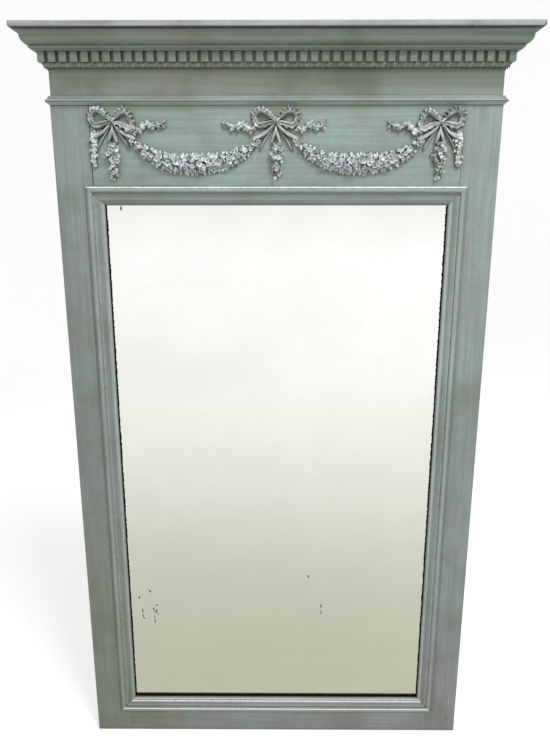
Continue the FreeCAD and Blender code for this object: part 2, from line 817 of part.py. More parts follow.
def make_slips():
    """Blackened slips between the moulding's lip and the plate: two uprights, two between them."""
    outer = OPENING_HALF - sized("lip_back")
    inner = SIGHT_HALF + sized("slip_setback")
    low = OPENING_BOTTOM + sized("lip_back")
    high = OPENING_TOP - sized("lip_back")
    make_box("glazing_slip_right", (inner, LIP_BACK, low), (outer, PLATE_FRONT, high))
    make_box("glazing_slip_left", (-outer, LIP_BACK, low), (-inner, PLATE_FRONT, high))
    make_box("glazing_slip_bottom", (-inner, LIP_BACK, low),
             (inner, PLATE_FRONT, SIGHT_BOTTOM - sized("slip_setback")))
    make_box("glazing_slip_top", (-inner, LIP_BACK, SIGHT_TOP + sized("slip_setback")),
             (inner, PLATE_FRONT, high))


def make_plate():
    """The mirror plate, standing on the bottom rail."""
    half = OPENING_HALF - sized("plate_gap")
    make_box("mirror_plate", (-half, PLATE_FRONT, OPENING_BOTTOM),
             (half, PLATE_BACK, OPENING_TOP - sized("plate_gap")))


def make_blocks():
    """Glazing blocks glued to the opening's edges behind the plate."""
    length = SIZES["block_length"]
    width = SIZES["block_width"]
    thick = PLANK_FRONT.value - PLATE_BACK.value
    blocks = []
    for share in (0.1, 0.3, 0.5, 0.7, 0.9):
        height = OPENING_BOTTOM.value + SIZES["opening_height"] * share - length / 2
        for low in (-OPENING_HALF.value, OPENING_HALF.value - width):
            blocks.append(Part.makeBox(width, thick, length, Vector(low, PLATE_BACK.value, height)))
    for share in (-0.5, 0.0, 0.5):
        across = OPENING_HALF.value * share - length / 2
        for low in (OPENING_BOTTOM.value, OPENING_TOP.value - width):
            blocks.append(Part.makeBox(length, thick, width, Vector(across, PLATE_BACK.value, low)))
    solids_piece("glazing_blocks", blocks)


def plank_edges():
    """Left and right edges of the three back planks."""
    gap = sized("plank_gap")
    reach = OPENING_HALF + sized("rebate_width") - gap
    width = (reach * 2 - gap * 2) / 3
    edges = []
    for number in range(3):
        low = -reach + (width + gap) * float(number)
        edges.append((low, low + width))
    return edges


def make_planks():
    """Three upright planks let into the backs of the stiles and nailed to rail and panel."""
    low = PLANK_BOTTOM + sized("plank_gap")
    high = PLANK_TOP - sized("plank_gap")
    nails = []
    for name, (left, right) in zip(("left", "middle", "right"), plank_edges()):
        plank = new_body(f"back_plank_{name}")
        pad_block(plank, (left, PLANK_FRONT, low), (right, ZERO, high))
        places = []
        for across in (left + sized("nail_inset") * 2, right - sized("nail_inset") * 2):
            for height in (low + sized("nail_inset"), high - sized("nail_inset")):
                places.append((across, height))
        cut_back_holes(plank, places, sized("nail_head_radius") + sized("screw_gap"),
                       sized("nail_head_thick"))
        cut_back_holes(plank, places, sized("nail_radius") + sized("screw_gap"),
                       sized("plank_thick"))
        keep(f"back_plank_{name}", plank)
        for across, height in places:
            nails.append(nail(Vector(across.value, 0, height.value), Vector(0, -1, 0),
                              SIZES["plank_thick"]))
    solids_piece("plank_nails", nails)


# ---- hangers -------------------------------------------------------------------------------------
def screw_heights():
    """Heights of a hanger's two screws."""
    low = sized("hanger_height") - sized("strap_length") + sized("screw_inset")
    return [low, low + sized("screw_spacing")]


def ring_height():
    """From the ring's axis to the far point of its wire's middle line."""
    return (sized("ring_corner_radius") + sized("ring_leg") + sized("ring_inner_width") / 2
            + sized("ring_wire_radius"))


def make_straps():
    """Steel straps: a flat tongue with two countersunk holes and a barrel round the ring."""
    strap = new_body("hanger_strap_right")
    width = sized("strap_width")
    half = width / 2
    axis_z = sized("hanger_height")
    back = POCKET_FLOOR + sized("strap_thick")
    pad_block(strap, (HANGER_X - half, POCKET_FLOOR, axis_z - sized("strap_length")),
              (HANGER_X + half, back, axis_z))
    barrel = new_sketch(strap, "YZ_Plane", HANGER_X - half)
    draw_circle(barrel, (HANGER_AXIS_Y, axis_z), BARREL_RADIUS)
    pad(strap, barrel, width)
    bore = new_sketch(strap, "YZ_Plane", HANGER_X - half)
    draw_circle(bore, (HANGER_AXIS_Y, axis_z), sized("ring_wire_radius") + sized("ring_gap"))
    cut_reversed(strap, bore, width)
    holes = new_sketch(strap, "XZ_Plane", -POCKET_FLOOR)
    for height in screw_heights():
        draw_circle(holes, (HANGER_X, height), sized("screw_radius") + sized("screw_gap"))
    cut(strap, holes, sized("strap_thick"))
    sinks = new_sketch(strap, "XZ_Plane", -back)
    for height in screw_heights():
        draw_circle(sinks, (HANGER_X, height), sized("screw_head_radius") + sized("screw_gap"))
    cut_reversed(strap, sinks, sized("screw_head_depth"))
    keep("hanger_strap_right", strap)
    mirror_piece("hanger_strap_left", strap)


def make_rings():
    """D-shaped wire rings hanging from the barrels of the straps."""
    ring = new_body("hanger_ring_right")
    corner = sized("ring_corner_radius")
    bend = sized("ring_inner_width") / 2 + sized("ring_wire_radius")
    axis_z = sized("hanger_height")
    low = axis_z - corner - sized("ring_leg")
    right = HANGER_X + bend
    left = HANGER_X - bend
    route = new_sketch(ring, "XZ_Plane", -HANGER_AXIS_Y)
    draw_outline(route, [
        ((left + corner, axis_z),),
        ((left, axis_z - corner), corner, 1),
        ((left, low),),
        ((HANGER_X, low - bend), bend, 1),
        ((right, low), bend, 1),
        ((right, axis_z - corner),),
        ((right - corner, axis_z), corner, 1),
    ])
    wire = new_sketch(ring, "YZ_Plane", HANGER_X)
    draw_circle(wire, (HANGER_AXIS_Y, axis_z), sized("ring_wire_radius"))
    document.recompute()
    sweep = ring.newObject("PartDesign::AdditivePipe", "hanger_ring_sweep")
    sweep.Profile = wire
    sweep.Spine = (route, [f"Edge{number + 1}" for number in range(len(route.Geometry))])
    keep("hanger_ring_right", ring)
    mirror_piece("hanger_ring_left", ring)


def make_screws():
    """Two flat-headed screws in each strap, flush with its face."""
    head_at = POCKET_FLOOR.value + SIZES["strap_thick"]
    screws = []
    for side in (1, -1):
        for height in screw_heights():
            top = Vector(HANGER_X.value * side, head_at, height.value)
            head = Part.makeCylinder(SIZES["screw_head_radius"], SIZES["screw_head_depth"], top,
                                     Vector(0, -1, 0))
            shank = Part.makeCylinder(SIZES["screw_radius"], SIZES["screw_length"], top,
                                      Vector(0, -1, 0))
            screws.append(head.fuse(shank).removeSplitter())
    solids_piece("hanger_screws", screws)


# ---- ornament ------------------------------------------------------------------------------------
def dome(across, height, radius, thick):
    """A round boss on the panel: the part of a ball that stands proud of the panel."""
    ball = (radius ** 2 + thick ** 2) / (2 * thick)
    return Part.makeSphere(ball, Vector(across, FRONT.value + ball - thick, height))


def boss_row(name, bosses):
    """A casting made of bosses (across, height, radius, thick) that run into one another."""
    domes = [dome(*boss) for boss in bosses]
    whole = domes[0].fuse(domes[1:]) if len(domes) > 1 else domes[0]
    box = whole.BoundBox
    front = Part.makeBox(box.XLength + 2, -box.YMin + FRONT.value + 1, box.ZLength + 2,
                         Vector(box.XMin - 1, box.YMin - 1, box.ZMin - 1))
    relief = whole.common(front)
    solids_piece(name, relief.Solids)


def spread(first, last, step):
    """Evenly spaced shares from 0 to 1 with about one step between them."""
    count = max(int(round(abs(last - first) / step)), 1)
    return [number / count for number in range(count + 1)]


def mix(first, last, share):
    """The value a share of the way from first to last."""
    return first + (last - first) * share


def flat_piece(face, thick):
    """Raise a face that lies on the panel."""
    return face.extrude(Vector(0, -thick, 0))


def bow_loop(across, height, side):
    """One ribbon loop: a tilted oval with a hole."""
    upright = Part.Ellipse(Vector(0, 0, 0), SIZES["loop_long"], SIZES["loop_short"]).toShape()
    outer = Part.Face(Part.Wire(upright))
    hole = Part.Face(Part.Wire(Part.Circle(Vector(0, 0, 0), Vector(0, 0, 1),
                                           SIZES["loop_hole"]).toShape()))
    loop = outer.cut(hole)
    tilt = math.degrees(math.atan2(SIZES["loop_rise"], SIZES["loop_reach"])) * side
    loop.rotate(Vector(0, 0, 0), Vector(0, 0, 1), tilt)
    loop.rotate(Vector(0, 0, 0), Vector(1, 0, 0), 90)
    loop.translate(Vector(across + SIZES["loop_reach"] * side, FRONT.value,
                          height + SIZES["loop_rise"]))
    return flat_piece(loop, SIZES["loop_thick"])


def bow_tail(across, height, side):
    """One ribbon end running down and out from the knot."""
    half = SIZES["tail_width"] / 2
    length = SIZES["tail_length"]
    corners = [Vector(-half, 0, 0), Vector(half, 0, 0), Vector(half, 0, -length),
               Vector(-half, 0, -length), Vector(-half, 0, 0)]
    tail = Part.Face(Part.makePolygon(corners))
    lean = math.degrees(math.asin(SIZES["tail_reach"] / length))
    tail.rotate(Vector(0, 0, 0), Vector(0, 1, 0), -lean * side)
    tail.translate(Vector(across, FRONT.value, height))
    return flat_piece(tail, SIZES["tail_thick"])


def make_bows():
    """Three ribbon bows, each one casting: knot, two loops and two tails."""
    for name, place in (("left", -1), ("centre", 0), ("right", 1)):
        across = BOW_SPACING.value * place
        height = KNOT_Z.value
        knot = Part.makeCylinder(SIZES["knot_radius"], SIZES["knot_thick"],
                                 Vector(across, FRONT.value, height), Vector(0, -1, 0))
        parts = []
        for side in (1, -1):
            parts.append(bow_loop(across, height, side))
            parts.append(bow_tail(across, height, side))
        bow = knot.fuse(parts).removeSplitter()
        solids_piece(f"bow_{name}", bow.Solids)


def make_pendants():
    """A bunch of flowers below each bow, narrowing downwards."""
    for name, place in (("left", -1), ("centre", 0), ("right", 1)):
        across = BOW_SPACING.value * place
        large = SIZES["pendant_radius"]
        small = SIZES["pendant_tip_radius"]
        top = KNOT_Z.value - SIZES["pendant_top"] - large
        low = top + large - SIZES["pendant_length"] + small
        bosses = []
        for share in spread(top, low, small * BOSS_LAP):
            radius = mix(large, small, share)
            thick = mix(SIZES["pendant_thick"], small, share)
            bosses.append((across, mix(top, low, share), radius, thick))
        boss_row(f"pendant_{name}", bosses)


def make_swags():
    """Two flower swags hung between the bows, fullest in the middle."""
    for name, place in (("left", -0.5), ("right", 0.5)):
        middle = BOW_SPACING.value * place
        half = BOW_SPACING.value / 2 - SIZES["swag_end_gap"]
        end = KNOT_Z.value - SIZES["swag_end_drop"]
        bosses = []
        for turn in spread(0, half * math.pi, SIZES["swag_step"]):
            along = -math.cos(turn * math.pi)
            off = abs(along)
            radius = mix(SIZES["swag_middle_radius"], SIZES["swag_end_radius"], off ** SWAG_THINNING)
            thick = mix(SIZES["swag_thick"], SIZES["swag_end_radius"], off ** SWAG_THINNING)
            drop = SIZES["swag_sag"] * (1 - off ** SWAG_FLATNESS)
            bosses.append((middle + half * along, end - drop, radius, thick))
        boss_row(f"swag_{name}", bosses)


def make_sprays():
    """Four leafy ribbon sprays that run inwards from the bows."""
    for name, place, side in (("left", -1, 1), ("centre_left", 0, -1),
                              ("centre_right", 0, 1), ("right", 1, -1)):
        near = BOW_SPACING.value * place + SIZES["spray_start"] * side
        length = SIZES["spray_length"]
        radius = SIZES["spray_radius"]
        bosses = []
        for share in spread(0, length, radius * BOSS_LAP):
            wave = -math.cos(share * 2 * math.pi) * radius
            across = near + side * (radius + (length - 2 * radius) * share)
            bosses.append((across, KNOT_Z.value - radius + wave, radius, SIZES["spray_thick"]))
        boss_row(f"spray_{name}", bosses)


def make_drops():
    """A long leafy drop outside each end bow."""
    for name, side in (("left", -1), ("right", 1)):
        across = (BOW_SPACING.value + SIZES["drop_offset"]) * side
        radius = SIZES["drop_radius"]
        top = KNOT_Z.value - SIZES["drop_top"] - radius
        low = top - SIZES["drop_length"] + 2 * radius
        bosses = []
        for share in spread(top, low, radius * DROP_TAPER * BOSS_LAP):
            size = mix(radius, radius * DROP_TAPER, share)
            wave = math.sin(share * 2 * math.pi) * radius * DROP_SWAY
            bosses.append((across + wave, mix(top, low, share), size, SIZES["drop_thick"]))
        boss_row(f"drop_{name}", bosses)


# ---- the whole part ------------------------------------------------------------------------------
def check_and_write():
    """Check every object and sub-part, then write one STEP file for each sub-part."""
    document.recompute()
    for item in document.Objects:
        if "Invalid" in item.State or "Error" in item.State:
            raise RuntimeError(f"{item.Name} failed: {item.State}")
    for name, piece in pieces.items():
        if piece.Shape.isNull() or not piece.Shape.isValid():
            raise RuntimeError(f"{name} has no valid shape")
    os.makedirs("parts", exist_ok=True)
    for name, piece in pieces.items():
        piece.Shape.exportStep(f"parts/{name}.step")
        print(name, len(piece.Shape.Solids), "solids", round(piece.Shape.Volume), "mm3")
    print(len(pieces), "sub-parts")


make_sheet()
make_stiles()
make_bottom_rail()
make_frieze_panel()
make_frieze_board()
make_pegs_and_dowels()
make_sight_mouldings()
make_slips()
make_plate()
make_blocks()
make_planks()
make_cornice()
make_straps()
make_rings()
make_screws()
make_bows()
make_pendants()
make_swags()
make_sprays()
make_drops()
check_and_write()
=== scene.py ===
"""Visual model of a painted trumeau mirror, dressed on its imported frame.

Metres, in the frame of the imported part: X to the right, +Y into the wall, Z up, the origin in the
middle of the bottom edge on the wall face. Sizes that a maker would give are in millimetres and
are turned into metres by MM.
"""

import logging
import math
import random
from collections.abc import Callable
from dataclasses import dataclass, replace
from enum import Enum

import bpy
from mathutils import Matrix, Vector


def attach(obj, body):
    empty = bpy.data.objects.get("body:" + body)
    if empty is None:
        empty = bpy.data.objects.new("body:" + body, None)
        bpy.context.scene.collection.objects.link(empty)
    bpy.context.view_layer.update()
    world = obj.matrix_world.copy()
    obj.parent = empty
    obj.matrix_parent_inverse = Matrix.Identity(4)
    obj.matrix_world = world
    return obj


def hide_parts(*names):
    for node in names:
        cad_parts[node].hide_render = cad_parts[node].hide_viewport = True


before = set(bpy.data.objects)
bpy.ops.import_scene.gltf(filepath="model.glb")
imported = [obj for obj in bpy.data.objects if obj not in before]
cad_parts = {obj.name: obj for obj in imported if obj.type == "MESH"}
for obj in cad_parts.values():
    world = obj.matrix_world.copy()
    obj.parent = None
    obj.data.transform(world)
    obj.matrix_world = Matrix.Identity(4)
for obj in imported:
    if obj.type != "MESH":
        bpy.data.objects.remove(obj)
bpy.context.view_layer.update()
MM = 0.001
# the face of the frieze panel, which all cast ornament stands on, in millimetres
PANEL_Y = -28.0
BODY = "mirror"
LOG = logging.getLogger("trumeau")

Spot = tuple[float, float]
Point = tuple[float, float, float]
Colour = tuple[float, float, float]
Shades = tuple[tuple[float, Colour], ...]
Socket = bpy.types.NodeSocket
Material = bpy.types.Material
Piece = bpy.types.Object

# a weld finer than any corner of the part, the turn that still counts as flat, and the sharpest
# turn that is shaded smooth
WELD = 0.001 * MM
FLAT_TURN = math.radians(0.5)
SMOOTH_TURN = math.radians(50)
# how much of its depth a garland's core keeps under its parts
PRESSED = 0.6


class Grain(Enum):
    """The way a brush or a tree's grain runs, as the stretch of a pattern along X, Y and Z."""

    ACROSS = (7.0, 170.0, 170.0)
    UPRIGHT = (170.0, 170.0, 7.0)
    NONE = (150.0, 150.0, 150.0)

    def times(self, factor: float) -> Point:
        """The stretch of a finer or coarser pattern that runs the same way."""
        return tuple(value * factor for value in self.value)


# ---- finishes ------------------------------------------------------------------------------------
class NodeBoard:
    """The node tree of one new material, with short calls to add and join its nodes."""

    def __init__(self, name: str) -> None:
        """Make the material and keep its shader at hand.

        Args:
            name: The material's name.
        """
        self.material = bpy.data.materials.new(name)
        self.material.use_nodes = True
        self.tree = self.material.node_tree
        self.shader = self.tree.nodes["Principled BSDF"]
        self.place = self.add("ShaderNodeTexCoord").outputs["Object"]

    def add(self, kind: str, inputs: dict | None = None, **settings: object) -> bpy.types.Node:
        """Add a node.

        Args:
            kind: The node's type name.
            inputs: What goes into its inputs, by their names or numbers.
            settings: Its own properties, by name.

        Returns:
            The new node.
        """
        node = self.tree.nodes.new(kind)
        for key, value in settings.items():
            setattr(node, key, value)
        for key, value in (inputs or {}).items():
            self.feed(node.inputs[key], value)
        return node

    def feed(self, socket: Socket, value: object) -> None:
        """Link a socket into another, or set it to a plain value.

        Args:
            socket: The input to fill.
            value: An output socket, a number, a colour or a vector.
        """
        if isinstance(value, Socket):
            self.tree.links.new(value, socket)
        elif isinstance(value, tuple) and socket.type == "RGBA":
            socket.default_value = (*value, 1.0)
        else:
            socket.default_value = value

    def give(self, name: str, value: object) -> None:
        """Link a value into one of the shader's own sockets, or set the socket to it."""
        self.feed(self.shader.inputs[name], value)

    def noise(self, stretch: Point, shift: Point = (0.0, 0.0, 0.0), detail: float = 4.0,
              roughness: float = 0.55) -> Socket:
        """Cloudy noise from 0 to 1 on object coordinates, stretched to cells per metre."""
        near = self.add("ShaderNodeMapping",
                        {"Vector": self.place, "Scale": stretch, "Location": shift})
        return self.add("ShaderNodeTexNoise",
                        {"Vector": near.outputs["Vector"], "Scale": 1.0, "Detail": detail,
                         "Roughness": roughness}).outputs["Fac"]

    def remap(self, value: Socket, low: float, high: float, to_low: float = 0.0,
              to_high: float = 1.0) -> Socket:
        """Spread a value smoothly from one range over another, and hold it inside that."""
        inputs = {"Value": value, "From Min": low, "From Max": high, "To Min": to_low,
                  "To Max": to_high}
        node = self.add("ShaderNodeMapRange", inputs, interpolation_type="SMOOTHSTEP")
        return node.outputs["Result"]

    def ramp(self, value: Socket, stops: tuple[tuple[float, Colour], ...],
             top: float) -> Socket:
        """A colour that changes along a value.

        Args:
            value: The value.
            stops: Values from low to high, each with its colour.
            top: The value at the ramp's end.

        Returns:
            The colour.
        """
        node = self.add("ShaderNodeValToRGB")
        self.feed(node.inputs["Fac"], self.sum("DIVIDE", value, top))
        points = node.color_ramp.elements
        for index, (place, colour) in enumerate(stops):
            point = points[index] if index < 2 else points.new(place / top)
            point.position = place / top
            point.color = (*colour, 1.0)
        return node.outputs["Color"]

    def sum(self, operation: str, first: object, second: object = 0.0) -> Socket:
        """One step of arithmetic, such as MULTIPLY, on two values."""
        return self.add("ShaderNodeMath", {0: first, 1: second},
                        operation=operation).outputs["Value"]

    def weigh(self, first: Socket, second: Socket, share: float) -> Socket:
        """A share of one value and the rest of another."""
        return self.sum("ADD", self.sum("MULTIPLY", first, share),
                        self.sum("MULTIPLY", second, 1 - share))

    def blend(self, share: object, first: object, second: object, kind: str = "MIX") -> Socket:
        """Mix a share of the second colour into the first."""
        return self.add("ShaderNodeMix", {"Factor": share, 6: first, 7: second},
                        data_type="RGBA", blend_type=kind).outputs[2]

    def part_of(self, axis: str, vector: Socket) -> Socket:
        """One component, X, Y or Z, of a vector."""
        return self.add("ShaderNodeSeparateXYZ", {"Vector": vector}).outputs[axis]

    def along(self, axis: str) -> Socket:
        """The object coordinate along one axis."""
        return self.part_of(axis, self.place)

    def occlusion(self, distance: float, inside: bool = False) -> Socket:
        """How open a point is: 1 in the open, 0 deep in a recess (or, inside, far from an edge)."""
        return self.add("ShaderNodeAmbientOcclusion", {"Distance": distance}, inside=inside,
                        samples=6).outputs["AO"]

    def bump(self, height: Socket, depth: float, strength: float,
             rounding: float = 0.0) -> Socket:
        """Surface relief, over edges that look eased where rounding isn't 0.

        Args:
            height: The relief from 0 to 1.
            depth: Its depth in metres.
            strength: How much of it shows.
            rounding: Radius of the eased edges in metres.

        Returns:
            The normal.
        """
        inputs = {"Height": height, "Distance": depth, "Strength": strength}
        if rounding > 0:
            eased = self.add("ShaderNodeBevel", {"Radius": rounding}, samples=4)
            inputs["Normal"] = eased.outputs["Normal"]
        return self.add("ShaderNodeBump", inputs).outputs["Normal"]


def linear(red: int, green: int, blue: int) -> Colour:
    """A colour as the eye reads it on a screen, from 0 to 255, turned into light."""
    def channel(value: float) -> float:
        """One channel, from 0 to 1."""
        value = value / 255.0
        return value / 12.92 if value <= 0.04045 else ((value + 0.055) / 1.055) ** 2.4
    return (channel(red), channel(green), channel(blue))


@dataclass(frozen=True)
class BareWood:
    """Old unpainted softwood: a warm grey brown with grain along one way."""

    pale: Colour = linear(168, 142, 106)
    dark: Colour = linear(118, 92, 63)
    age: Colour = linear(92, 78, 62)
    shift: float = 0.0
    roughness: float = 0.82
    # how fine the year rings and the fibres are, against the grain's usual stretch
    rings: float = 0.5
    fibres: float = 3.4

    def colour(self, board: NodeBoard, grain: Grain) -> Socket:
        """The wood's colour.

        Args:
            board: The material's board.
            grain: The way the grain runs.

        Returns:
            The colour's socket.
        """
        offset = (self.shift,) * 3
        rings = board.noise(grain.times(self.rings), offset, detail=5.0, roughness=0.5)
        fibres = board.noise(grain.times(self.fibres), offset, detail=4.0, roughness=0.6)
        figure = board.weigh(rings, fibres, 0.5)
        stain = board.noise((3.0,) * 3, offset, detail=5.0)
        wood = board.blend(board.remap(figure, 0.3, 0.7), self.dark, self.pale)
        wood = board.blend(board.remap(stain, 0.35, 0.7, 0.1, 0.5), wood, self.age)
        # darker in recesses and along joint lines: dirt and painted shade
        return board.blend(board.remap(board.occlusion(8 * MM), 0.3, 0.85, 0.7, 0.0), wood,
                           linear(48, 38, 28))

    def make(self, name: str, grain: Grain) -> Material:
        """The finished material.

        Args:
            name: The material's name.
            grain: The way the grain runs.

        Returns:
            The material.
        """
        board = NodeBoard(name)
        board.give("Base Color", self.colour(board, grain))
        board.give("Roughness", self.roughness)
        relief = board.noise(grain.times(self.fibres), detail=5.0)
        board.give("Normal", board.bump(relief, 0.3 * MM, 0.6, 0.5 * MM))
        return board.material


@dataclass(frozen=True)
class ChalkPaint:
    """Brushed chalky paint: streaks, olive patina, dirt and painted shade in recesses, pale rubbed
    edges.
    """

    pale: Colour
    deep: Colour
    patina: Colour = linear(104, 108, 84)
    # the dark tone of dirt, and of painted shade in recesses, on faces that look down and along
    # shade lines
    grime_and_shade: Colour = linear(50, 54, 42)
    rubbed: Colour = linear(188, 199, 197)
    recess: float = 14.0
    recess_strength: float = 0.75
    # openness of a recess that is fully darkened by dirt and painted shade, and of one not darkened
    recess_span: Spot = (0.25, 0.85)
    # a darker olive ring round whatever stands near, partly dirt and partly painted shade: reach in
    # millimetres, strength and tone
    halo: float = 20.0
    halo_strength: float = 0.0
    halo_tone: Colour = linear(104, 110, 82)
    rub_width: float = 1.4
    rub_strength: float = 0.55
    # fullness behind an edge that is fully rubbed, and behind one that keeps its paint
    rub_span: Spot = (0.62, 0.93)
    patch_strength: float = 0.5
    patch_scale: float = 9.0
    warm: Colour = linear(126, 122, 114)
    warm_strength: float = 0.3
    # the tinges between which the paint wanders
    rosy: Colour = (1.0, 0.965, 0.985)
    greenish: Colour = (0.96, 1.0, 0.985)
    # cells per metre of the mottle, the haze and the tinge
    mottle_scale: float = 120.0
    haze_scale: float = 14.0
    tinge_scale: float = 26.0
    # the noise between which brush marks, haze, patches and tinge go from one side to the other
    brush_span: Spot = (0.34, 0.66)
    haze_span: Spot = (0.45, 0.65)
    patch_span: Spot = (0.45, 0.7)
    tinge_span: Spot = (0.35, 0.65)
    low_tone: Colour = linear(84, 88, 68)
    low_strength: float = 0.0
    low_reach: float = 6.0
    # painted shade: how much darker a face that looks down is than one that looks up
    downward_shade: float = 0.0
    # painted shade by height, at the left and the right: metres, and the share of the paint it
    # keeps
    left_painted_shade: Shades = ()
    right_painted_shade: Shades = ()
    # across in metres, where the left's shade ends and the right's is full, and a height above
    # the whole mirror
    shade_span: Spot = (-0.36, 0.0)
    shade_top: float = 1.5
    # painted highlight and painted shade lines along a moulding: axis, place and half width in
    # millimetres, strength
    painted_highlight_lines: tuple[tuple[str, float, float, float], ...] = ()
    painted_shade_lines: tuple[tuple[str, float, float, float], ...] = ()
    # dark joint lines beside the panel, partly the open gap and partly painted shadow: place across
    # in millimetres and strength, and the metres of height up to which there is none and from which
    # it is full
    joints: tuple[Spot, ...] = ()
    joint_foot: Spot = (1.18, 1.2)
    # small knocks: across, height and radius in millimetres
    knocks: tuple[Point, ...] = ()
    knock_face: float = PANEL_Y
    roughness: float = 0.62
    # the brush marks' relief and the easing of the edges, in millimetres
    brush_depth: float = 0.3
    edge_round: float = 0.7

    def make(self, name: str, grain: Grain) -> Material:
        """The finished material, bare wood on its back.

        Args:
            name: The material's name.
            grain: The way the brush ran.

        Returns:
            The material.
        """
        board = NodeBoard(name)
        streaks = board.noise(grain.value, detail=6.0, roughness=0.5)
        mottle = board.noise((self.mottle_scale,) * 3, detail=3.0)
        clouds = board.noise((self.patch_scale,) * 3, detail=4.0)
        haze = board.noise((self.haze_scale,) * 3, (3.0, 0.0, 5.0), detail=2.0)
        brushed = board.weigh(streaks, mottle, 0.75)
        paint = board.blend(board.remap(brushed, *self.brush_span), self.deep, self.pale)
        paint = board.blend(board.remap(haze, *self.haze_span, 0.0, self.warm_strength), paint,
                            self.warm)
        patches = board.remap(clouds, *self.patch_span, 0.0, self.patch_strength)
        paint = board.blend(patches, paint, self.patina)
        hue = board.noise((self.tinge_scale,) * 3, (1.0, 4.0, 2.0), detail=1.0)
        tinge = board.blend(board.remap(hue, *self.tinge_span), self.rosy, self.greenish)
        paint = self.shaded(board, board.blend(1.0, paint, tinge, kind="MULTIPLY"))
        # a darker olive ring round whatever stands near: partly dirt, partly painted shade
        if self.halo_strength > 0:
            ring = board.remap(board.occlusion(self.halo * MM), 0.5, 0.95, self.halo_strength, 0.0)
            ring = board.sum("MULTIPLY", ring, board.remap(clouds, 0.35, 0.6, 0.35, 1.3))
            paint = board.blend(ring, paint, self.halo_tone)
        # recesses darkened: partly dirt, partly painted shade
        recess_grime_and_shade = board.remap(board.occlusion(self.recess * MM), *self.recess_span,
                             self.recess_strength, 0.0)
        paint = board.blend(recess_grime_and_shade, paint, self.grime_and_shade)
        if self.low_strength > 0:
            low = board.remap(board.along("Y"), (PANEL_Y - self.low_reach) * MM,
                              (PANEL_Y - 0.8) * MM, 0.0, self.low_strength)
            paint = board.blend(low, paint, self.low_tone)
        # painted shade: faces that look down are darker, as if lit from above
        if self.downward_shade > 0:
            upward = board.part_of("Z", self.own_normal(board, "Normal"))
            lit_share = board.remap(upward, -0.6, 0.45, 1.0 - self.downward_shade, 1.0)
            paint = board.blend(board.sum("SUBTRACT", 1.0, lit_share), paint, self.grime_and_shade)
        inside = board.occlusion(self.rub_width * MM, inside=True)
        worn = board.sum("MULTIPLY", board.remap(inside, *self.rub_span, self.rub_strength, 0.0),
                         board.remap(mottle, 0.3, 0.55, 0.35, 1.0))
        paint = board.blend(worn, paint, self.rubbed)
        paint = self.marks(board, paint, mottle)
        # faces that look at the wall were never painted
        back = board.remap(board.part_of("Y", self.own_normal(board, "True Normal")), 0.9, 0.97)
        board.give("Base Color", board.blend(back, paint, BareWood().colour(board, grain)))
        board.give("Roughness", board.remap(brushed, 0.3, 0.7, self.roughness - 0.08,
                                            self.roughness + 0.12))
        board.give("Normal", board.bump(brushed, self.brush_depth * MM, 0.4,
                                        self.edge_round * MM))
        return board.material

    def shaded(self, board: NodeBoard, paint: Socket) -> Socket:
        """Painted shade: darken the paint by height, one way at the left and another at the right.

        Args:
            board: The material's board.
            paint: The colour so far.

        Returns:
            The shaded colour.
        """
        if not self.left_painted_shade:
            return paint
        height = board.along("Z")
        left = board.ramp(height, self.left_painted_shade, self.shade_top)
        right = board.ramp(height, self.right_painted_shade or self.left_painted_shade, self.shade_top)
        side = board.remap(board.along("X"), *self.shade_span)
        return board.blend(1.0, paint, board.blend(side, left, right), kind="MULTIPLY")

    def marks(self, board: NodeBoard, paint: Socket,
              mottle: Socket) -> Socket:
        """Painted highlight and shade lines, joint lines with painted shadow by the panel, small
        knocks.

        Args:
            board: The material's board.
            paint: The colour so far.
            mottle: Noise that breaks the marks up.

        Returns:
            The colour with its marks.
        """
        # painted highlights take the rubbed tone, painted shade lines the dark dirt tone
        lines = [(*line, self.rubbed) for line in self.painted_highlight_lines]
        lines += [(*line, self.grime_and_shade) for line in self.painted_shade_lines]
        for axis, place, half, strength, tone in lines:
            at = board.sum("ABSOLUTE", board.along(axis))
            off = board.sum("ABSOLUTE", board.sum("SUBTRACT", at, place * MM))
            line = board.remap(off, 1.4 * half * MM, 0.6 * half * MM, 0.0, strength)
            line = board.sum("MULTIPLY", line, board.remap(mottle, 0.3, 0.5, 0.6, 1.0))
            paint = board.blend(line, paint, tone)
        # joint lines: the open gap, with painted shadow
        for across, strength in self.joints:
            off = board.sum("SUBTRACT", board.along("X"), across * MM)
            line = board.remap(board.sum("ABSOLUTE", off), 1.1 * MM, 0.5 * MM, 0.0, strength)
            line = board.sum("MULTIPLY", line, board.remap(board.along("Z"), *self.joint_foot))
            line = board.sum("MULTIPLY", line, board.remap(mottle, 0.3, 0.5, 0.55, 1.0))
            paint = board.blend(line, paint, self.grime_and_shade)
        for across, up, radius in self.knocks:
            spot = (across * MM, self.knock_face * MM, up * MM)
            near = board.add("ShaderNodeVectorMath", {0: board.place, 1: spot},
                             operation="DISTANCE")
            knock = board.remap(near.outputs["Value"], 1.3 * radius * MM, 0.6 * radius * MM)
            paint = board.blend(knock, paint, self.grime_and_shade)
        return paint

    @staticmethod
    def own_normal(board: NodeBoard, kind: str) -> Socket:
        """One of the geometry's normals, as the object itself has it."""
        normal = board.add("ShaderNodeNewGeometry").outputs[kind]
        return board.add("ShaderNodeVectorTransform", {"Vector": normal}, vector_type="NORMAL",
                         convert_from="WORLD", convert_to="OBJECT").outputs["Vector"]


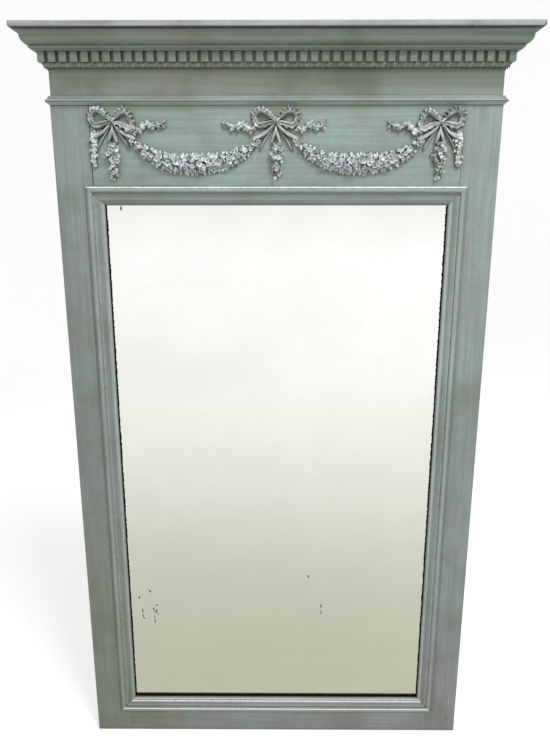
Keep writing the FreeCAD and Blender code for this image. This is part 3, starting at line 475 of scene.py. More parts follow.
@dataclass(frozen=True)
class OldMirror:
    """Silvered glass with black specks where the silver is lost, and painted reflections: a darker,
    yellower lower half and a black rim.
    """

    # painted reflection: the colour by height stands for what the glass reflects, darker and
    # yellower low down; height in metres and colour there, from the bottom of the glass to its top
    reflection_tints: Shades = (
        (0.08, (0.49, 0.49, 0.375)), (0.20, (0.47, 0.48, 0.385)), (0.33, (0.49, 0.50, 0.41)),
        (0.45, (0.53, 0.545, 0.45)), (0.565, (0.60, 0.62, 0.54)), (0.675, (0.66, 0.68, 0.60)),
        (0.782, (0.74, 0.745, 0.70)), (0.884, (0.86, 0.86, 0.835)), (0.983, (0.93, 0.93, 0.90)),
        (1.066, (0.96, 0.96, 0.94)), (1.16, (0.89, 0.885, 0.85)))
    lost_silver: Colour = linear(40, 40, 30)
    veil: Colour = linear(150, 150, 138)
    # painted reflection of the black rebate: a black rim on the silver at the sides and bottom
    rebate_reflection_black: Colour = linear(14, 14, 12)
    # sight edges in metres: half width and bottom
    half_width: float = 0.3184
    bottom: float = 0.0838
    # how far in that painted rim reaches, in millimetres
    rebate_reflection_width: float = 2.2
    # cells per metre of the ragged edges, of the specks and of the dull haze, and the noise
    # between which a speck sets in
    ragged_scale: float = 260.0
    speck_scale: float = 420.0
    haze_scale: float = 16.0
    speck_span: Spot = (0.76, 0.79)
    # the roughness of clear and of hazy silver
    dullness: Spot = (0.03, 0.1)
    # where the silver is lost: across, height, half length and half width in millimetres, and
    # the degrees by which the length is turned up from level
    spots: tuple[tuple[float, float, float, float, float], ...] = (
        (69.0, 386.0, 3.6, 1.7, -60.0), (98.1, 313.5, 4.0, 1.2, 90.0),
        (98.4, 298.5, 4.2, 1.2, 90.0), (-275.0, 349.0, 3.8, 1.5, -56.0),
        (-299.2, 332.6, 4.0, 1.4, 50.0), (-292.6, 300.5, 6.0, 0.9, 95.0),
        (-292.6, 288.5, 5.0, 0.9, -75.0), (-288.8, 281.2, 3.4, 1.1, -30.0),
        (-261.7, 314.0, 3.0, 1.1, 0.0), (-268.1, 304.0, 4.0, 1.1, -75.0),
        (-265.3, 297.5, 3.0, 1.0, -45.0), (-262.0, 300.5, 3.6, 1.0, -65.0),
        (-259.8, 293.0, 3.4, 1.0, -60.0), (-267.3, 286.5, 4.0, 1.1, 60.0),
        (-266.6, 280.0, 3.4, 1.0, -60.0), (-266.8, 273.5, 3.4, 1.2, 70.0),
        (-290.5, 1154.0, 4.6, 1.6, 100.0),
    )

    def make(self, name: str) -> Material:
        """The finished material.

        Args:
            name: The material's name.

        Returns:
            The material.
        """
        board = NodeBoard(name)
        # painted reflection: darker and yellower towards the bottom
        reflection_and_silver = board.ramp(board.along("Z"), self.reflection_tints, 1.2)
        veil = board.noise((7.0, 7.0, 9.0), detail=5.0, roughness=0.6)
        reflection_and_silver = board.blend(board.remap(veil, 0.3, 0.7, 0.0, 0.07), reflection_and_silver, self.veil)
        wander = board.noise((self.ragged_scale,) * 3, detail=3.0)
        specks = board.remap(board.noise((self.speck_scale,) * 3, detail=2.0), *self.speck_span)
        lost = board.sum("MAXIMUM", self.spotted(board, wander), specks)
        reflection_and_silver = board.blend(lost, reflection_and_silver, self.lost_silver)
        # painted reflection of the black rebate round the sides and the bottom
        edge = self.edge(board, wander)
        board.give("Base Color", board.blend(edge, reflection_and_silver, self.rebate_reflection_black))
        board.give("Metallic", 1.0)
        haze = board.noise((self.haze_scale,) * 3, detail=3.0)
        dull = board.remap(haze, 0.35, 0.8, *self.dullness)
        board.give("Roughness", board.sum("MAXIMUM", dull, board.sum("MAXIMUM", lost, edge)))
        return board.material

    def edge(self, board: NodeBoard, wander: Socket) -> Socket:
        """The black rim at the sides and the bottom: a painted reflection of the black rebate.

        Args:
            board: The material's board.
            wander: Noise that makes the edge ragged.

        Returns:
            1 in the rim, 0 on the rest of the silver.
        """
        from_side = board.sum("SUBTRACT", self.half_width,
                              board.sum("ABSOLUTE", board.along("X")))
        from_bottom = board.sum("SUBTRACT", board.along("Z"), self.bottom)
        nearest = board.sum("MINIMUM", from_side, from_bottom)
        reach = board.remap(wander, 0.3, 0.7, 0.6 * self.rebate_reflection_width * MM, 1.5 * self.rebate_reflection_width * MM)
        return board.remap(board.sum("DIVIDE", nearest, reach), 1.0, 0.8)

    def spotted(self, board: NodeBoard, wander: Socket) -> Socket:
        """Ragged patches at the known places.

        Args:
            board: The material's board.
            wander: Noise that makes the patches ragged.

        Returns:
            1 on a patch, 0 elsewhere.
        """
        mask = 0.0
        for across, height, long, wide, turn in self.spots:
            near = board.add("ShaderNodeMapping",
                             {"Vector": board.place,
                              "Location": (across * MM, 0.0, height * MM),
                              "Rotation": (0.0, -math.radians(turn), 0.0),
                              "Scale": (long * MM, 1.0, wide * MM)}, vector_type="TEXTURE")
            length = board.add("ShaderNodeVectorMath", {0: near.outputs["Vector"]},
                               operation="LENGTH")
            ragged = board.sum("ADD", length.outputs["Value"],
                               board.remap(wander, 0.3, 0.7, -0.4, 0.4))
            mask = board.sum("MAXIMUM", mask, board.remap(ragged, 1.05, 0.85))
        return mask


@dataclass(frozen=True)
class Metal:
    """Plain metal with a fine brushed grain and a little dirt."""

    tone: Colour
    dirt: Colour
    roughness: float

    def make(self, name: str) -> Material:
        """The finished material.

        Args:
            name: The material's name.

        Returns:
            The material.
        """
        board = NodeBoard(name)
        stains = board.noise((240.0,) * 3, detail=4.0)
        share = board.remap(stains, 0.5, 0.75, 0.0, 0.8)
        board.give("Base Color", board.blend(share, self.tone, self.dirt))
        board.give("Metallic", 0.9)
        board.give("Roughness", board.remap(stains, 0.3, 0.7, self.roughness - 0.08,
                                            self.roughness + 0.15))
        grain = board.noise((900.0, 900.0, 2600.0), detail=2.0)
        board.give("Normal", board.bump(grain, 0.1 * MM, 0.4, 0.3 * MM))
        return board.material


@dataclass(frozen=True)
class Blacking:
    """Dull black paint in the rebate round the glass."""

    tone: Colour = linear(22, 22, 19)
    worn: Colour = linear(52, 48, 40)

    def make(self, name: str) -> Material:
        """The finished material, with thin places in the black."""
        board = NodeBoard(name)
        patches = board.noise((90.0,) * 3, detail=5.0)
        share = board.remap(patches, 0.5, 0.75, 0.0, 0.7)
        board.give("Base Color", board.blend(share, self.tone, self.worn))
        board.give("Roughness", 0.8)
        board.give("Normal", board.bump(patches, 0.2 * MM, 0.5))
        return board.material


class Paintbox:
    """Every material of the object, made once."""

    def __init__(self) -> None:
        """Mix the finishes."""
        # the dark dirt tone also paints shade: in recesses, on faces that look down and along shade
        # lines
        dirt = {"patina": linear(76, 80, 60), "grime_and_shade": linear(34, 37, 28),
                "warm": linear(108, 105, 99)}
        unshaded = (1.0, 1.0, 1.0)
        # joint lines beside the panel, the left one heavier: partly the gap, partly painted shadow
        joints = ((-336.5, 0.95), (336.5, 0.3))
        # painted shade: the stiles, rail and side mouldings darker at the left than the right, by
        # height
        left_painted_shade = ((0.03, (0.76, 0.72, 0.60)), (0.10, (0.70, 0.70, 0.56)),
                      (0.22, (0.79, 0.75, 0.64)), (0.45, (0.77, 0.73, 0.68)),
                      (0.65, (0.82, 0.77, 0.79)), (0.90, (0.80, 0.75, 0.74)),
                      (1.05, (0.85, 0.80, 0.83)), (1.30, (0.90, 0.87, 0.88)))
        right_painted_shade = ((0.03, (0.93, 0.87, 0.86)), (0.15, (0.95, 0.84, 0.90)),
                       (0.30, (0.935, 0.91, 0.92)), (0.50, (0.93, 0.91, 0.91)),
                       (0.70, (0.85, 0.83, 0.82)), (0.85, unshaded), (1.30, unshaded))
        shades = {"left_painted_shade": left_painted_shade, "right_painted_shade": right_painted_shade}
        carcass = ChalkPaint(pale=linear(113, 125, 121), deep=linear(101, 111, 106),
                             rubbed=linear(140, 150, 148), rub_strength=0.35, recess=8.0,
                             recess_strength=0.7, patch_strength=0.35, joints=joints,
                             knocks=((385.0, 33.6, 1.7), (388.0, 31.0, 0.8)), **shades, **dirt)
        # a lighter, bluer copy of the paint: painted light on the panel; its ramp by height is the
        # painted shadow under the neck
        panel = ChalkPaint(pale=linear(117, 133, 129), deep=linear(105, 118, 113),
                           rubbed=linear(150, 162, 160), rub_strength=0.5, recess=4.0,
                           recess_strength=0.45, patch_strength=0.25, halo_strength=0.56,
                           warm_strength=0.2, joints=joints,
                           left_painted_shade=((1.18, unshaded), (1.317, unshaded),
                                       (1.326, (0.86, 0.87, 0.80)), (1.334, (0.70, 0.72, 0.60))),
                           **dirt)
        # painted highlights on the neck's nose and its shaded lower slope, and a painted shade line
        # under the nose
        neck = ChalkPaint(pale=linear(114, 125, 122), deep=linear(101, 111, 106), recess=3.0,
                          rubbed=linear(154, 164, 163), rub_strength=0.5, recess_strength=0.4,
                          patch_strength=0.35, painted_highlight_lines=(("Z", 1335.0, 2.4, 0.38),
                                                           ("Z", 1340.4, 1.0, 0.3)),
                          painted_shade_lines=(("Z", 1338.4, 0.8, 0.6),), **dirt)
        # painted highlight and shade lines along the side mouldings' profile, with the stiles'
        # painted shade
        moulded = ChalkPaint(pale=linear(114, 125, 122), deep=linear(101, 111, 106), recess=4.0,
                             rubbed=linear(186, 196, 196), rub_strength=0.15,
                             recess_strength=0.6, recess_span=(0.5, 1.0),
                             patch_strength=0.3, painted_highlight_lines=(("X", 322.6, 3.2, 0.20),
                                                             ("X", 343.6, 2.0, 0.12)),
                             painted_shade_lines=(("X", 329.4, 1.7, 0.12), ("X", 349.6, 1.7, 0.36)),
                             **shades, **dirt)
        # a painted highlight on the top moulding's upper arris, and painted highlight and shade
        # lines along its profile
        crest = ChalkPaint(pale=linear(112, 122, 118), deep=linear(98, 108, 102), recess=4.0,
                           rubbed=linear(206, 216, 214), rub_strength=0.1,
                           recess_strength=0.4, recess_span=(0.4, 0.97), patch_strength=0.35,
                           painted_highlight_lines=(("Z", 1191.7, 1.0, 0.85), ("Z", 1170.5, 2.0, 0.06),
                                       ("Z", 1187.6, 2.2, 0.12)),
                           painted_shade_lines=(("Z", 1163.0, 3.0, 0.35), ("Z", 1178.0, 3.0, 0.2),
                                        ("Z", 1182.2, 1.3, 0.45)),
                           **dirt)
        # painted highlights on the bottom moulding's upward-facing steps and bead, and painted
        # shade lines
        sill = ChalkPaint(pale=linear(118, 124, 121), deep=linear(104, 110, 106), recess=4.0,
                          rubbed=linear(206, 212, 210), rub_strength=0.1,
                          recess_strength=0.5, recess_span=(0.5, 1.0), patch_strength=0.25,
                          painted_highlight_lines=(("Z", 58.0, 1.2, 0.8), ("Z", 75.6, 1.4, 0.55),
                                      ("Z", 81.5, 0.9, 0.45)),
                          painted_shade_lines=(("Z", 70.6, 2.0, 0.25), ("Z", 63.6, 1.2, 0.3)), **dirt)
        # a lighter copy of the paint for the top board's fillet: painted light from above
        fillet = ChalkPaint(pale=linear(134, 141, 138), deep=linear(116, 123, 118), recess=8.0,
                            rubbed=linear(158, 164, 163), rub_strength=0.5,
                            recess_strength=0.7, patch_strength=0.3, knock_face=-74.0,
                            knocks=((449.0, 1451.5, 1.6), (326.6, 1449.4, 1.2)), **dirt)
        # a painted shadow line under the top fillet, across the crown
        cornice = ChalkPaint(pale=linear(106, 115, 106), deep=linear(92, 101, 89), recess=5.0,
                             patch_strength=0.5, recess_strength=0.4, rub_strength=0.4,
                             rubbed=linear(146, 154, 150),
                             painted_shade_lines=(("Z", 1447.4, 1.5, 0.85),), **dirt)
        # a darker copy of the paint for the frieze board, and a ramp darkening it towards the top:
        # the cornice's painted shadow
        frieze = ChalkPaint(pale=linear(115, 122, 118), deep=linear(104, 111, 105),
                            recess=5.0, recess_strength=0.4, rub_strength=0.3,
                            left_painted_shade=((1.344, unshaded), (1.356, (0.88, 0.89, 0.87)),
                                        (1.370, (0.72, 0.74, 0.67)), (1.394, (0.64, 0.66, 0.55))),
                            rubbed=linear(130, 138, 134), **dirt)
        carved = ChalkPaint(pale=linear(96, 105, 92), deep=linear(72, 80, 66), recess=5.0,
                            recess_strength=0.9, rub_strength=0.5, rub_width=0.9,
                            rubbed=linear(132, 138, 120), patch_scale=150.0,
                            patch_strength=0.7, **{**dirt, "patina": linear(106, 110, 78)})
        # recesses darkened by dirt and painted shade, and painted shade on faces that look down;
        # the same for the ribbons below
        casting = ChalkPaint(pale=linear(188, 197, 198), deep=linear(150, 160, 157),
                             patina=linear(88, 94, 74), grime_and_shade=linear(24, 28, 20),
                             warm=linear(160, 156, 150), rubbed=linear(204, 211, 213),
                             recess=6.0, recess_strength=0.97, recess_span=(0.3, 0.9),
                             patch_strength=0.7, patch_scale=70.0, rub_width=0.7,
                             low_tone=linear(66, 72, 52), low_strength=0.85, low_reach=8.0,
                             downward_shade=0.42)
        ribbon = ChalkPaint(pale=linear(166, 175, 173), deep=linear(130, 139, 134),
                            patina=linear(82, 88, 70), grime_and_shade=linear(24, 28, 20),
                            warm=linear(142, 136, 134), rubbed=linear(196, 203, 204),
                            recess=5.0, recess_strength=0.97, recess_span=(0.35, 0.92),
                            patch_strength=0.8, patch_scale=75.0, rub_width=0.7,
                            rub_strength=0.7, low_tone=linear(66, 72, 54),
                            low_strength=0.85, downward_shade=0.6)
        self.paint_upright = carcass.make("paint_upright", Grain.UPRIGHT)
        self.paint_across = carcass.make("paint_across", Grain.ACROSS)
        self.moulding_upright = moulded.make("moulding_upright", Grain.UPRIGHT)
        self.panel = panel.make("panel_paint", Grain.ACROSS)
        self.neck = neck.make("neck_paint", Grain.ACROSS)
        self.cornice = cornice.make("cornice_paint", Grain.ACROSS)
        self.frieze = frieze.make("frieze_paint", Grain.ACROSS)
        self.carved = carved.make("carved_paint", Grain.NONE)
        self.casting = casting.make("casting_paint", Grain.NONE)
        self.ribbon = ribbon.make("ribbon_paint", Grain.NONE)
        self.crest = crest.make("crest_paint", Grain.ACROSS)
        self.sill = sill.make("sill_paint", Grain.ACROSS)
        self.fillet = fillet.make("fillet_paint", Grain.ACROSS)
        self.bare_upright = BareWood().make("bare_upright", Grain.UPRIGHT)
        self.bare_across = BareWood().make("bare_across", Grain.ACROSS)
        self.planks = {
            "left": BareWood(shift=3.7, pale=linear(154, 132, 102),
                             dark=linear(110, 88, 63)).make("plank_left_wood", Grain.UPRIGHT),
            "middle": BareWood(shift=9.1).make("plank_middle_wood", Grain.UPRIGHT),
            "right": BareWood(shift=15.3, pale=linear(178, 152, 116),
                              dark=linear(130, 104, 72)).make("plank_right_wood",
                                                             Grain.UPRIGHT),
        }
        self.mirror = OldMirror().make("old_mirror")
        self.blacking = Blacking().make("rebate_black")
        self.steel = Metal(linear(176, 176, 172), linear(96, 90, 78), 0.36).make("hanger_steel")
        self.iron = Metal(linear(92, 84, 76), linear(70, 48, 34), 0.6).make("nail_iron")


# ---- modelling helpers ---------------------------------------------------------------------------
def deselect_all() -> None:
    """Leave object mode with nothing selected."""
    if bpy.context.mode != "OBJECT":
        bpy.ops.object.mode_set(mode="OBJECT")
    bpy.ops.object.select_all(action="DESELECT")


def select_only(objects: list[Piece]) -> None:
    """Select these objects, the first of them active."""
    deselect_all()
    for item in objects:
        item.select_set(True)
    bpy.context.view_layer.objects.active = objects[0]


def copy_to(model: Piece, place: Matrix) -> Piece:
    """A copy of a finished model with its own mesh, put at a place.

    Args:
        model: The model, round the origin.
        place: Where the copy goes.

    Returns:
        The copy.
    """
    copy = model.copy()
    copy.data = model.data.copy()
    copy.data.transform(place)
    bpy.context.scene.collection.objects.link(copy)
    return copy


def join_as(name: str, objects: list[Piece],
            material: Material) -> Piece:
    """Join pieces into one named piece at the origin.

    Args:
        name: The piece's name.
        objects: What it is made of.
        material: Its finish.

    Returns:
        The joined piece.
    """
    select_only(objects)
    if len(objects) > 1:
        bpy.ops.object.join()
    piece = bpy.context.view_layer.objects.active
    bpy.ops.object.transform_apply(location=True, rotation=True, scale=True)
    piece.name = name
    piece.data.name = name
    piece.data.materials.clear()
    piece.data.materials.append(material)
    for face in piece.data.polygons:
        face.material_index = 0
    bpy.ops.object.shade_smooth_by_angle(angle=SMOOTH_TURN)
    return piece


def stand_for(node: str, kind: str, solids: list[Piece], material: Material) -> Piece:
    """Join solids into one piece that takes the place of a node.

    Args:
        node: The node.
        kind: What the piece's name adds to the node's.
        solids: What the piece is made of.
        material: Its finish.

    Returns:
        The new piece.
    """
    piece = join_as(f"{node}_{kind}", solids, material)
    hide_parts(node)
    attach(piece, BODY)
    return piece


def edit_whole(shape: Piece) -> None:
    """Go into edit mode on one object with all of it selected."""
    select_only([shape])
    bpy.ops.object.mode_set(mode="EDIT")
    bpy.ops.mesh.select_all(action="SELECT")


def leave_edit() -> Piece:
    """Recalculate the normals outwards, leave edit mode and give the object."""
    bpy.ops.mesh.select_all(action="SELECT")
    bpy.ops.mesh.normals_make_consistent(inside=False)
    bpy.ops.object.mode_set(mode="OBJECT")
    return bpy.context.active_object


def pick(test: Callable[[Vector], bool]) -> None:
    """In edit mode, select only the vertices that pass a test on their place."""
    shape = bpy.context.active_object
    bpy.ops.mesh.select_mode(type="VERT")
    bpy.ops.mesh.select_all(action="DESELECT")
    bpy.ops.object.mode_set(mode="OBJECT")
    for vertex in shape.data.vertices:
        vertex.select = bool(test(vertex.co))
    bpy.ops.object.mode_set(mode="EDIT")


def scale_where(test: Callable[[Vector], bool], value: Point, centre: Point) -> None:
    """In edit mode, scale the vertices that pass a test about a centre."""
    pick(test)
    bpy.ops.transform.resize(value=value, center_override=centre)


def move_where(test: Callable[[Vector], bool], value: Point) -> None:
    """In edit mode, move the vertices that pass a test."""
    pick(test)
    bpy.ops.transform.translate(value=value)


def facing(normal: Vector, tip: Vector) -> Matrix:
    """A turn that takes +Z to a normal and +X as near as it can to the way a tip points.

    Args:
        normal: The way the part's face looks.
        tip: The way its tip points.

    Returns:
        The turn.
    """
    face = normal.normalized()
    ahead = tip - face * tip.dot(face)
    if ahead.length < 1e-6:
        ahead = face.orthogonal()
    ahead.normalize()
    side = face.cross(ahead)
    return Matrix((ahead, side, face)).transposed().to_4x4()


# ---- woodwork ------------------------------------------------------------------------------------
@dataclass(frozen=True)
class Easing:
    """How far the sharp edges of a wooden piece are rubbed down, in millimetres."""

    width: float = 0.7
    segments: int = 2
    sharp_degrees: float = 28.0


def whole_copy(name: str) -> Piece:
    """A copy of one node's mesh, its triangles joined at their corners.

    Args:
        name: The node.

    Returns:
        The copy, at the node's place.
    """
    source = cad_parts[name]
    copy = source.copy()
    copy.data = source.data.copy()
    for key in list(copy.keys()):
        del copy[key]
    bpy.context.scene.collection.objects.link(copy)
    edit_whole(copy)
    bpy.ops.mesh.remove_doubles(threshold=WELD)
    return leave_edit()


def eased_node(name: str, material: Material, easing: Easing) -> Piece:
    """Replace a node by a copy of itself with its edges rubbed down.

    Args:
        name: The node.
        material: The copy's finish.
        easing: How far the edges are rubbed down.

    Returns:
        The new piece.
    """
    piece = whole_copy(name)
    edit_whole(piece)
    bpy.ops.mesh.dissolve_limited(angle_limit=FLAT_TURN)
    leave_edit()
    rounding = piece.modifiers.new("easing", "BEVEL")
    rounding.width = easing.width * MM
    rounding.segments = easing.segments
    rounding.limit_method = "ANGLE"
    rounding.angle_limit = math.radians(easing.sharp_degrees)
    rounding.use_clamp_overlap = True
    bpy.ops.object.modifier_apply(modifier=rounding.name)
    return stand_for(name, "eased", [piece], material)


@dataclass
class Carcass:
    """Stiles, bottom rail, frieze panel, frieze board and the mouldings round the glass."""

    paints: Paintbox
    easing: Easing = Easing()
    moulding_easing: Easing = Easing(width=0.5)

    def build(self) -> list[Piece]:
        """Ease the edges of every board and moulding and paint it.

        Returns:
            The new pieces.
        """
        paints = self.paints
        boards = {"stile_left": paints.paint_upright, "stile_right": paints.paint_upright,
                  "frieze_panel": paints.panel, "bottom_rail": paints.paint_across,
                  "frieze_board": paints.frieze}
        mouldings = {"left": paints.moulding_upright, "right": paints.moulding_upright,
                     "top": paints.crest, "bottom": paints.sill}
        return ([eased_node(name, paint, self.easing) for name, paint in boards.items()]
                + [eased_node(f"sight_moulding_{side}", paint, self.moulding_easing)
                   for side, paint in mouldings.items()])


@dataclass
class Cornice:
    """Neck, carved band, bed, dentils, crown moulding and top board."""

    paints: Paintbox
    easing: Easing = Easing(width=0.6)
    dentil_easing: Easing = Easing(width=0.5)
    leaf_pitch: float = 9.55
    leaf_height: float = 7.6
    leaf_width: float = 8.2
    leaf_depth: float = 6.0
    band_bottom: float = 1393.2
    band_front: float = -32.8
    half_width: float = 408.5
    # leaves of a return, where the first stands in pitches, and how far they stand out
    return_leaves: int = 3
    return_start: float = 0.6
    return_stand: float = 1.3

    def build(self) -> list[Piece]:
        """Ease and paint the runs, and carve the leaf band.

        Returns:
            The new pieces.
        """
        pieces = []
        for run in ("neck_moulding", "bed_moulding", "crown_moulding", "dentils"):
            easing = self.dentil_easing if run == "dentils" else self.easing
            paint = self.paints.neck if run == "neck_moulding" else self.paints.cornice
            for side in ("front", "left", "right"):
                pieces.append(eased_node(f"{run}_{side}", paint, easing))
        pieces.append(eased_node("top_board", self.paints.fillet, self.easing))
        return pieces + self.carved_band()

    def leaf(self) -> Piece:
        """One carved leaf: a plate drawn to a point below, with a raised middle.

        Returns:
            The leaf, in the XZ plane with its top middle at the origin, facing -Y.
        """
        deselect_all()
        bpy.ops.mesh.primitive_grid_add(x_subdivisions=4, y_subdivisions=4, size=1.0,
                                        rotation=(math.pi / 2, 0, 0))
        bpy.ops.object.transform_apply(location=False, rotation=True, scale=False)
        bpy.ops.object.mode_set(mode="EDIT")
        scale_where(lambda at: at.z < -0.4, (0.12, 1, 1), (0, 0, -0.5))
        scale_where(lambda at: -0.4 < at.z < -0.2, (0.72, 1, 1), (0, 0, 0))
        move_where(lambda at: abs(at.x) < 0.05 and abs(at.z) < 0.45, (0, -0.26, 0))
        move_where(lambda at: 0.4 < abs(at.x), (0, 0.06, 0))
        shape = leave_edit()
        size = Matrix.Diagonal((self.leaf_width * MM, self.leaf_depth * MM,
                                self.leaf_height * MM, 1))
        shape.data.transform(size @ Matrix.Translation((0, 0, 0.5)))
        return shape

    def carved_band(self) -> list[Piece]:
        """The carved band: its plain ground with leaves laid along it.

        Returns:
            The front band and its two returns.
        """
        model = self.leaf()
        count = round(2 * self.half_width / self.leaf_pitch)
        bottom = self.band_bottom * MM
        leaves = []
        for step in range(count):
            across = (step - (count - 1) / 2) * self.leaf_pitch
            place = Matrix.Translation((across * MM, self.band_front * MM, bottom))
            leaves.append(copy_to(model, place))
        bands = {"front": leaves}
        for side, name in ((-1, "left"), (1, "right")):
            turn = Matrix.Rotation(side * math.pi / 2, 4, "Z")
            bands[name] = []
            for step in range(self.return_leaves):
                depth = self.band_front + (step + self.return_start) * self.leaf_pitch
                place = Matrix.Translation((side * (self.half_width + self.return_stand) * MM,
                                            depth * MM, bottom))
                bands[name].append(copy_to(model, place @ turn))
        bpy.data.objects.remove(model)
        return [stand_for(f"carved_moulding_{name}", "carved",
                          [whole_copy(f"carved_moulding_{name}"), *leaves], self.paints.carved)
                for name, leaves in bands.items()]


# ---- cast ornament -------------------------------------------------------------------------------
def smooth_line(points: list[tuple[float, ...]], steps: int) -> list[tuple[float, ...]]:
    """A smooth line through points.

    Args:
        points: The points, each with any number of values.
        steps: Stations from one point to the next.

    Returns:
        The stations, first and last point included.
    """
    line = []
    for index in range(len(points) - 1):
        before = points[max(index - 1, 0)]
        first, second = points[index], points[index + 1]
        after = points[min(index + 2, len(points) - 1)]
        for step in range(steps):
            t = step / steps
            line.append(tuple(
                0.5 * (2 * b + (c - a) * t + (2 * a - 5 * b + 4 * c - d) * t * t
                       + (3 * b - a - 3 * c + d) * t ** 3)
                for a, b, c, d in zip(before, first, second, after)))
    line.append(tuple(points[-1]))
    return line


@dataclass(frozen=True)
class Ribbon:
    """A strip of ribbon laid on the panel, in millimetres from its bow's knot.

    Each point of its middle line is across, up, width and height off the panel.
    """

    points: tuple[tuple[float, float, float, float], ...]
    crown: float = 1.6
    slant: float = 0.0
    ruffle: float = 0.0
    waves: float = 5.0
    groove: float = 0.0
    steps: int = 5
    # the side whose edge is ruffled: 1, -1, or 0 for both, and the other side's share of it
    outer: int = 0
    inner_share: float = 0.15
    rows: int = 9

    def mirrored(self) -> "Ribbon":
        """The same ribbon on the other side of its knot."""
        points = tuple((-across, *rest) for across, *rest in self.points)
        return replace(self, points=points, slant=-self.slant, outer=-self.outer)

    def build(self, knot: Spot) -> Piece:
        """Lay a grid along the middle line and let its edge down to the panel.

        Args:
            knot: Across and height of the knot, in millimetres.

        Returns:
            The ribbon's solid.
        """
        line = smooth_line(list(self.points), self.steps)
        last = len(line) - 1
        deselect_all()
        bpy.ops.mesh.primitive_grid_add(x_subdivisions=last, y_subdivisions=self.rows - 1, size=1)
        shape = bpy.context.active_object
        for vertex in shape.data.vertices:
            station = round((vertex.co.x + 0.5) * last)
            side = vertex.co.y * 2
            across, up, width, lift = line[station]
            ahead, behind = line[min(station + 1, last)], line[max(station - 1, 0)]
            run, rise = ahead[0] - behind[0], ahead[1] - behind[1]
            length = math.hypot(run, rise) or 1.0
            wave = math.sin(2 * math.pi * self.waves * station / last)
            share = 1.0 if self.outer == 0 or side * self.outer > 0 else self.inner_share
            fringe = self.ruffle * wave * abs(side) ** 2 * share
            reach = side * width / 2 + side * fringe * 0.5
            height = (lift - self.crown * side * side + self.slant * side
                      - self.groove * math.cos(1.6 * math.pi * side)
                      + fringe * (1 if side > 0 else -0.6))
            vertex.co = Vector(((knot[0] + across - rise / length * reach) * MM,
                                (PANEL_Y - max(height, 0.4)) * MM,
                                (knot[1] + up + run / length * reach) * MM))
        edit_whole(shape)
        bpy.ops.mesh.extrude_region_move()
        bpy.ops.transform.resize(value=(1, 0, 1), center_override=(0, (PANEL_Y + 0.3) * MM, 0))
        return leave_edit()


class CastParts:
    """The leaf, flower and bud that every garland is pressed from, each one unit long."""

    def __init__(self) -> None:
        """Model each part once."""
        self.leaf = self.make_leaf()
        self.flower = self.make_flower()
        self.bud = self.make_bud()

    @staticmethod
    def make_leaf() -> Piece:
        """A cupped pointed leaf along +X, its upper side to +Z.

        Returns:
            The leaf's solid.
        """
        deselect_all()
        bpy.ops.mesh.primitive_grid_add(x_subdivisions=5, y_subdivisions=2, size=1.0,
                                        location=(0.5, 0, 0))
        bpy.ops.object.transform_apply(location=True)
        bpy.ops.object.mode_set(mode="EDIT")
        for place, width in ((0.0, 0.22), (0.2, 0.62), (0.4, 0.86), (0.6, 0.78), (0.8, 0.5),
                             (1.0, 0.06)):
            scale_where(lambda at, place=place: abs(at.x - place) < 0.05, (1, width, 1),
                        (place, 0, 0))
        move_where(lambda at: abs(at.y) > 0.02, (0, 0, 0.12))
        move_where(lambda at: at.x > 0.9, (0, 0, 0.1))
        move_where(lambda at: 0.3 < at.x < 0.7, (0, 0, 0.14))
        bpy.ops.mesh.select_all(action="SELECT")
        bpy.ops.mesh.extrude_region_move(TRANSFORM_OT_translate={"value": (0, 0, -0.14)})
        return leave_edit()

    @staticmethod
    def make_flower() -> Piece:
        """A five-petalled flower facing +Z, one unit across, with a boss in its middle.

        Returns:
            The flower's solids.
        """
        deselect_all()
        bpy.ops.mesh.primitive_grid_add(x_subdivisions=2, y_subdivisions=2, size=0.4,
                                        location=(0.3, 0, 0))
        bpy.ops.object.transform_apply(location=True)
        bpy.ops.object.mode_set(mode="EDIT")
        for place, width, rise in ((0.1, 0.4, -0.06), (0.3, 1.1, 0.03), (0.5, 0.7, 0.12)):
            scale_where(lambda at, place=place: abs(at.x - place) < 0.05, (1, width, 1),
                        (place, 0, 0))
            bpy.ops.transform.translate(value=(0, 0, rise))
        move_where(lambda at: abs(at.y) > 0.02 and at.x < 0.4, (0, 0, 0.07))
        move_where(lambda at: abs(at.y) > 0.02 and at.x > 0.4, (-0.08, 0, 0))
        bpy.ops.mesh.select_all(action="SELECT")
        bpy.ops.mesh.extrude_region_move(TRANSFORM_OT_translate={"value": (0, 0, -0.16)})
        petal = leave_edit()
        petals = [copy_to(petal, Matrix.Rotation(math.radians(72 * turn), 4, "Z")
                          @ Matrix.Rotation(math.radians(-14), 4, "Y")) for turn in range(5)]
        bpy.data.objects.remove(petal)
        deselect_all()
        bpy.ops.mesh.primitive_ico_sphere_add(subdivisions=1, radius=0.1, location=(0, 0, 0.02))
        select_only([bpy.context.active_object, *petals])
        bpy.ops.object.join()
        bpy.ops.object.transform_apply(location=True)
        return bpy.context.active_object

    @staticmethod
    def make_bud() -> Piece:
        """A pointed bud standing on +Z, one unit high.

        Returns:
            The bud's solid.
        """
        deselect_all()
        bpy.ops.mesh.primitive_ico_sphere_add(subdivisions=2, radius=0.5, location=(0, 0, 0.4))
        bpy.ops.object.transform_apply(location=True)
        bpy.ops.object.mode_set(mode="EDIT")
        scale_where(lambda at: at.z > 0.75, (0.5, 0.5, 1), (0, 0, 0.8))
        bpy.ops.transform.translate(value=(0, 0, 0.1))
        return leave_edit()

    def clear(self) -> None:
        """Remove the models once every copy is made."""
        for model in (self.leaf, self.flower, self.bud):
            bpy.data.objects.remove(model)


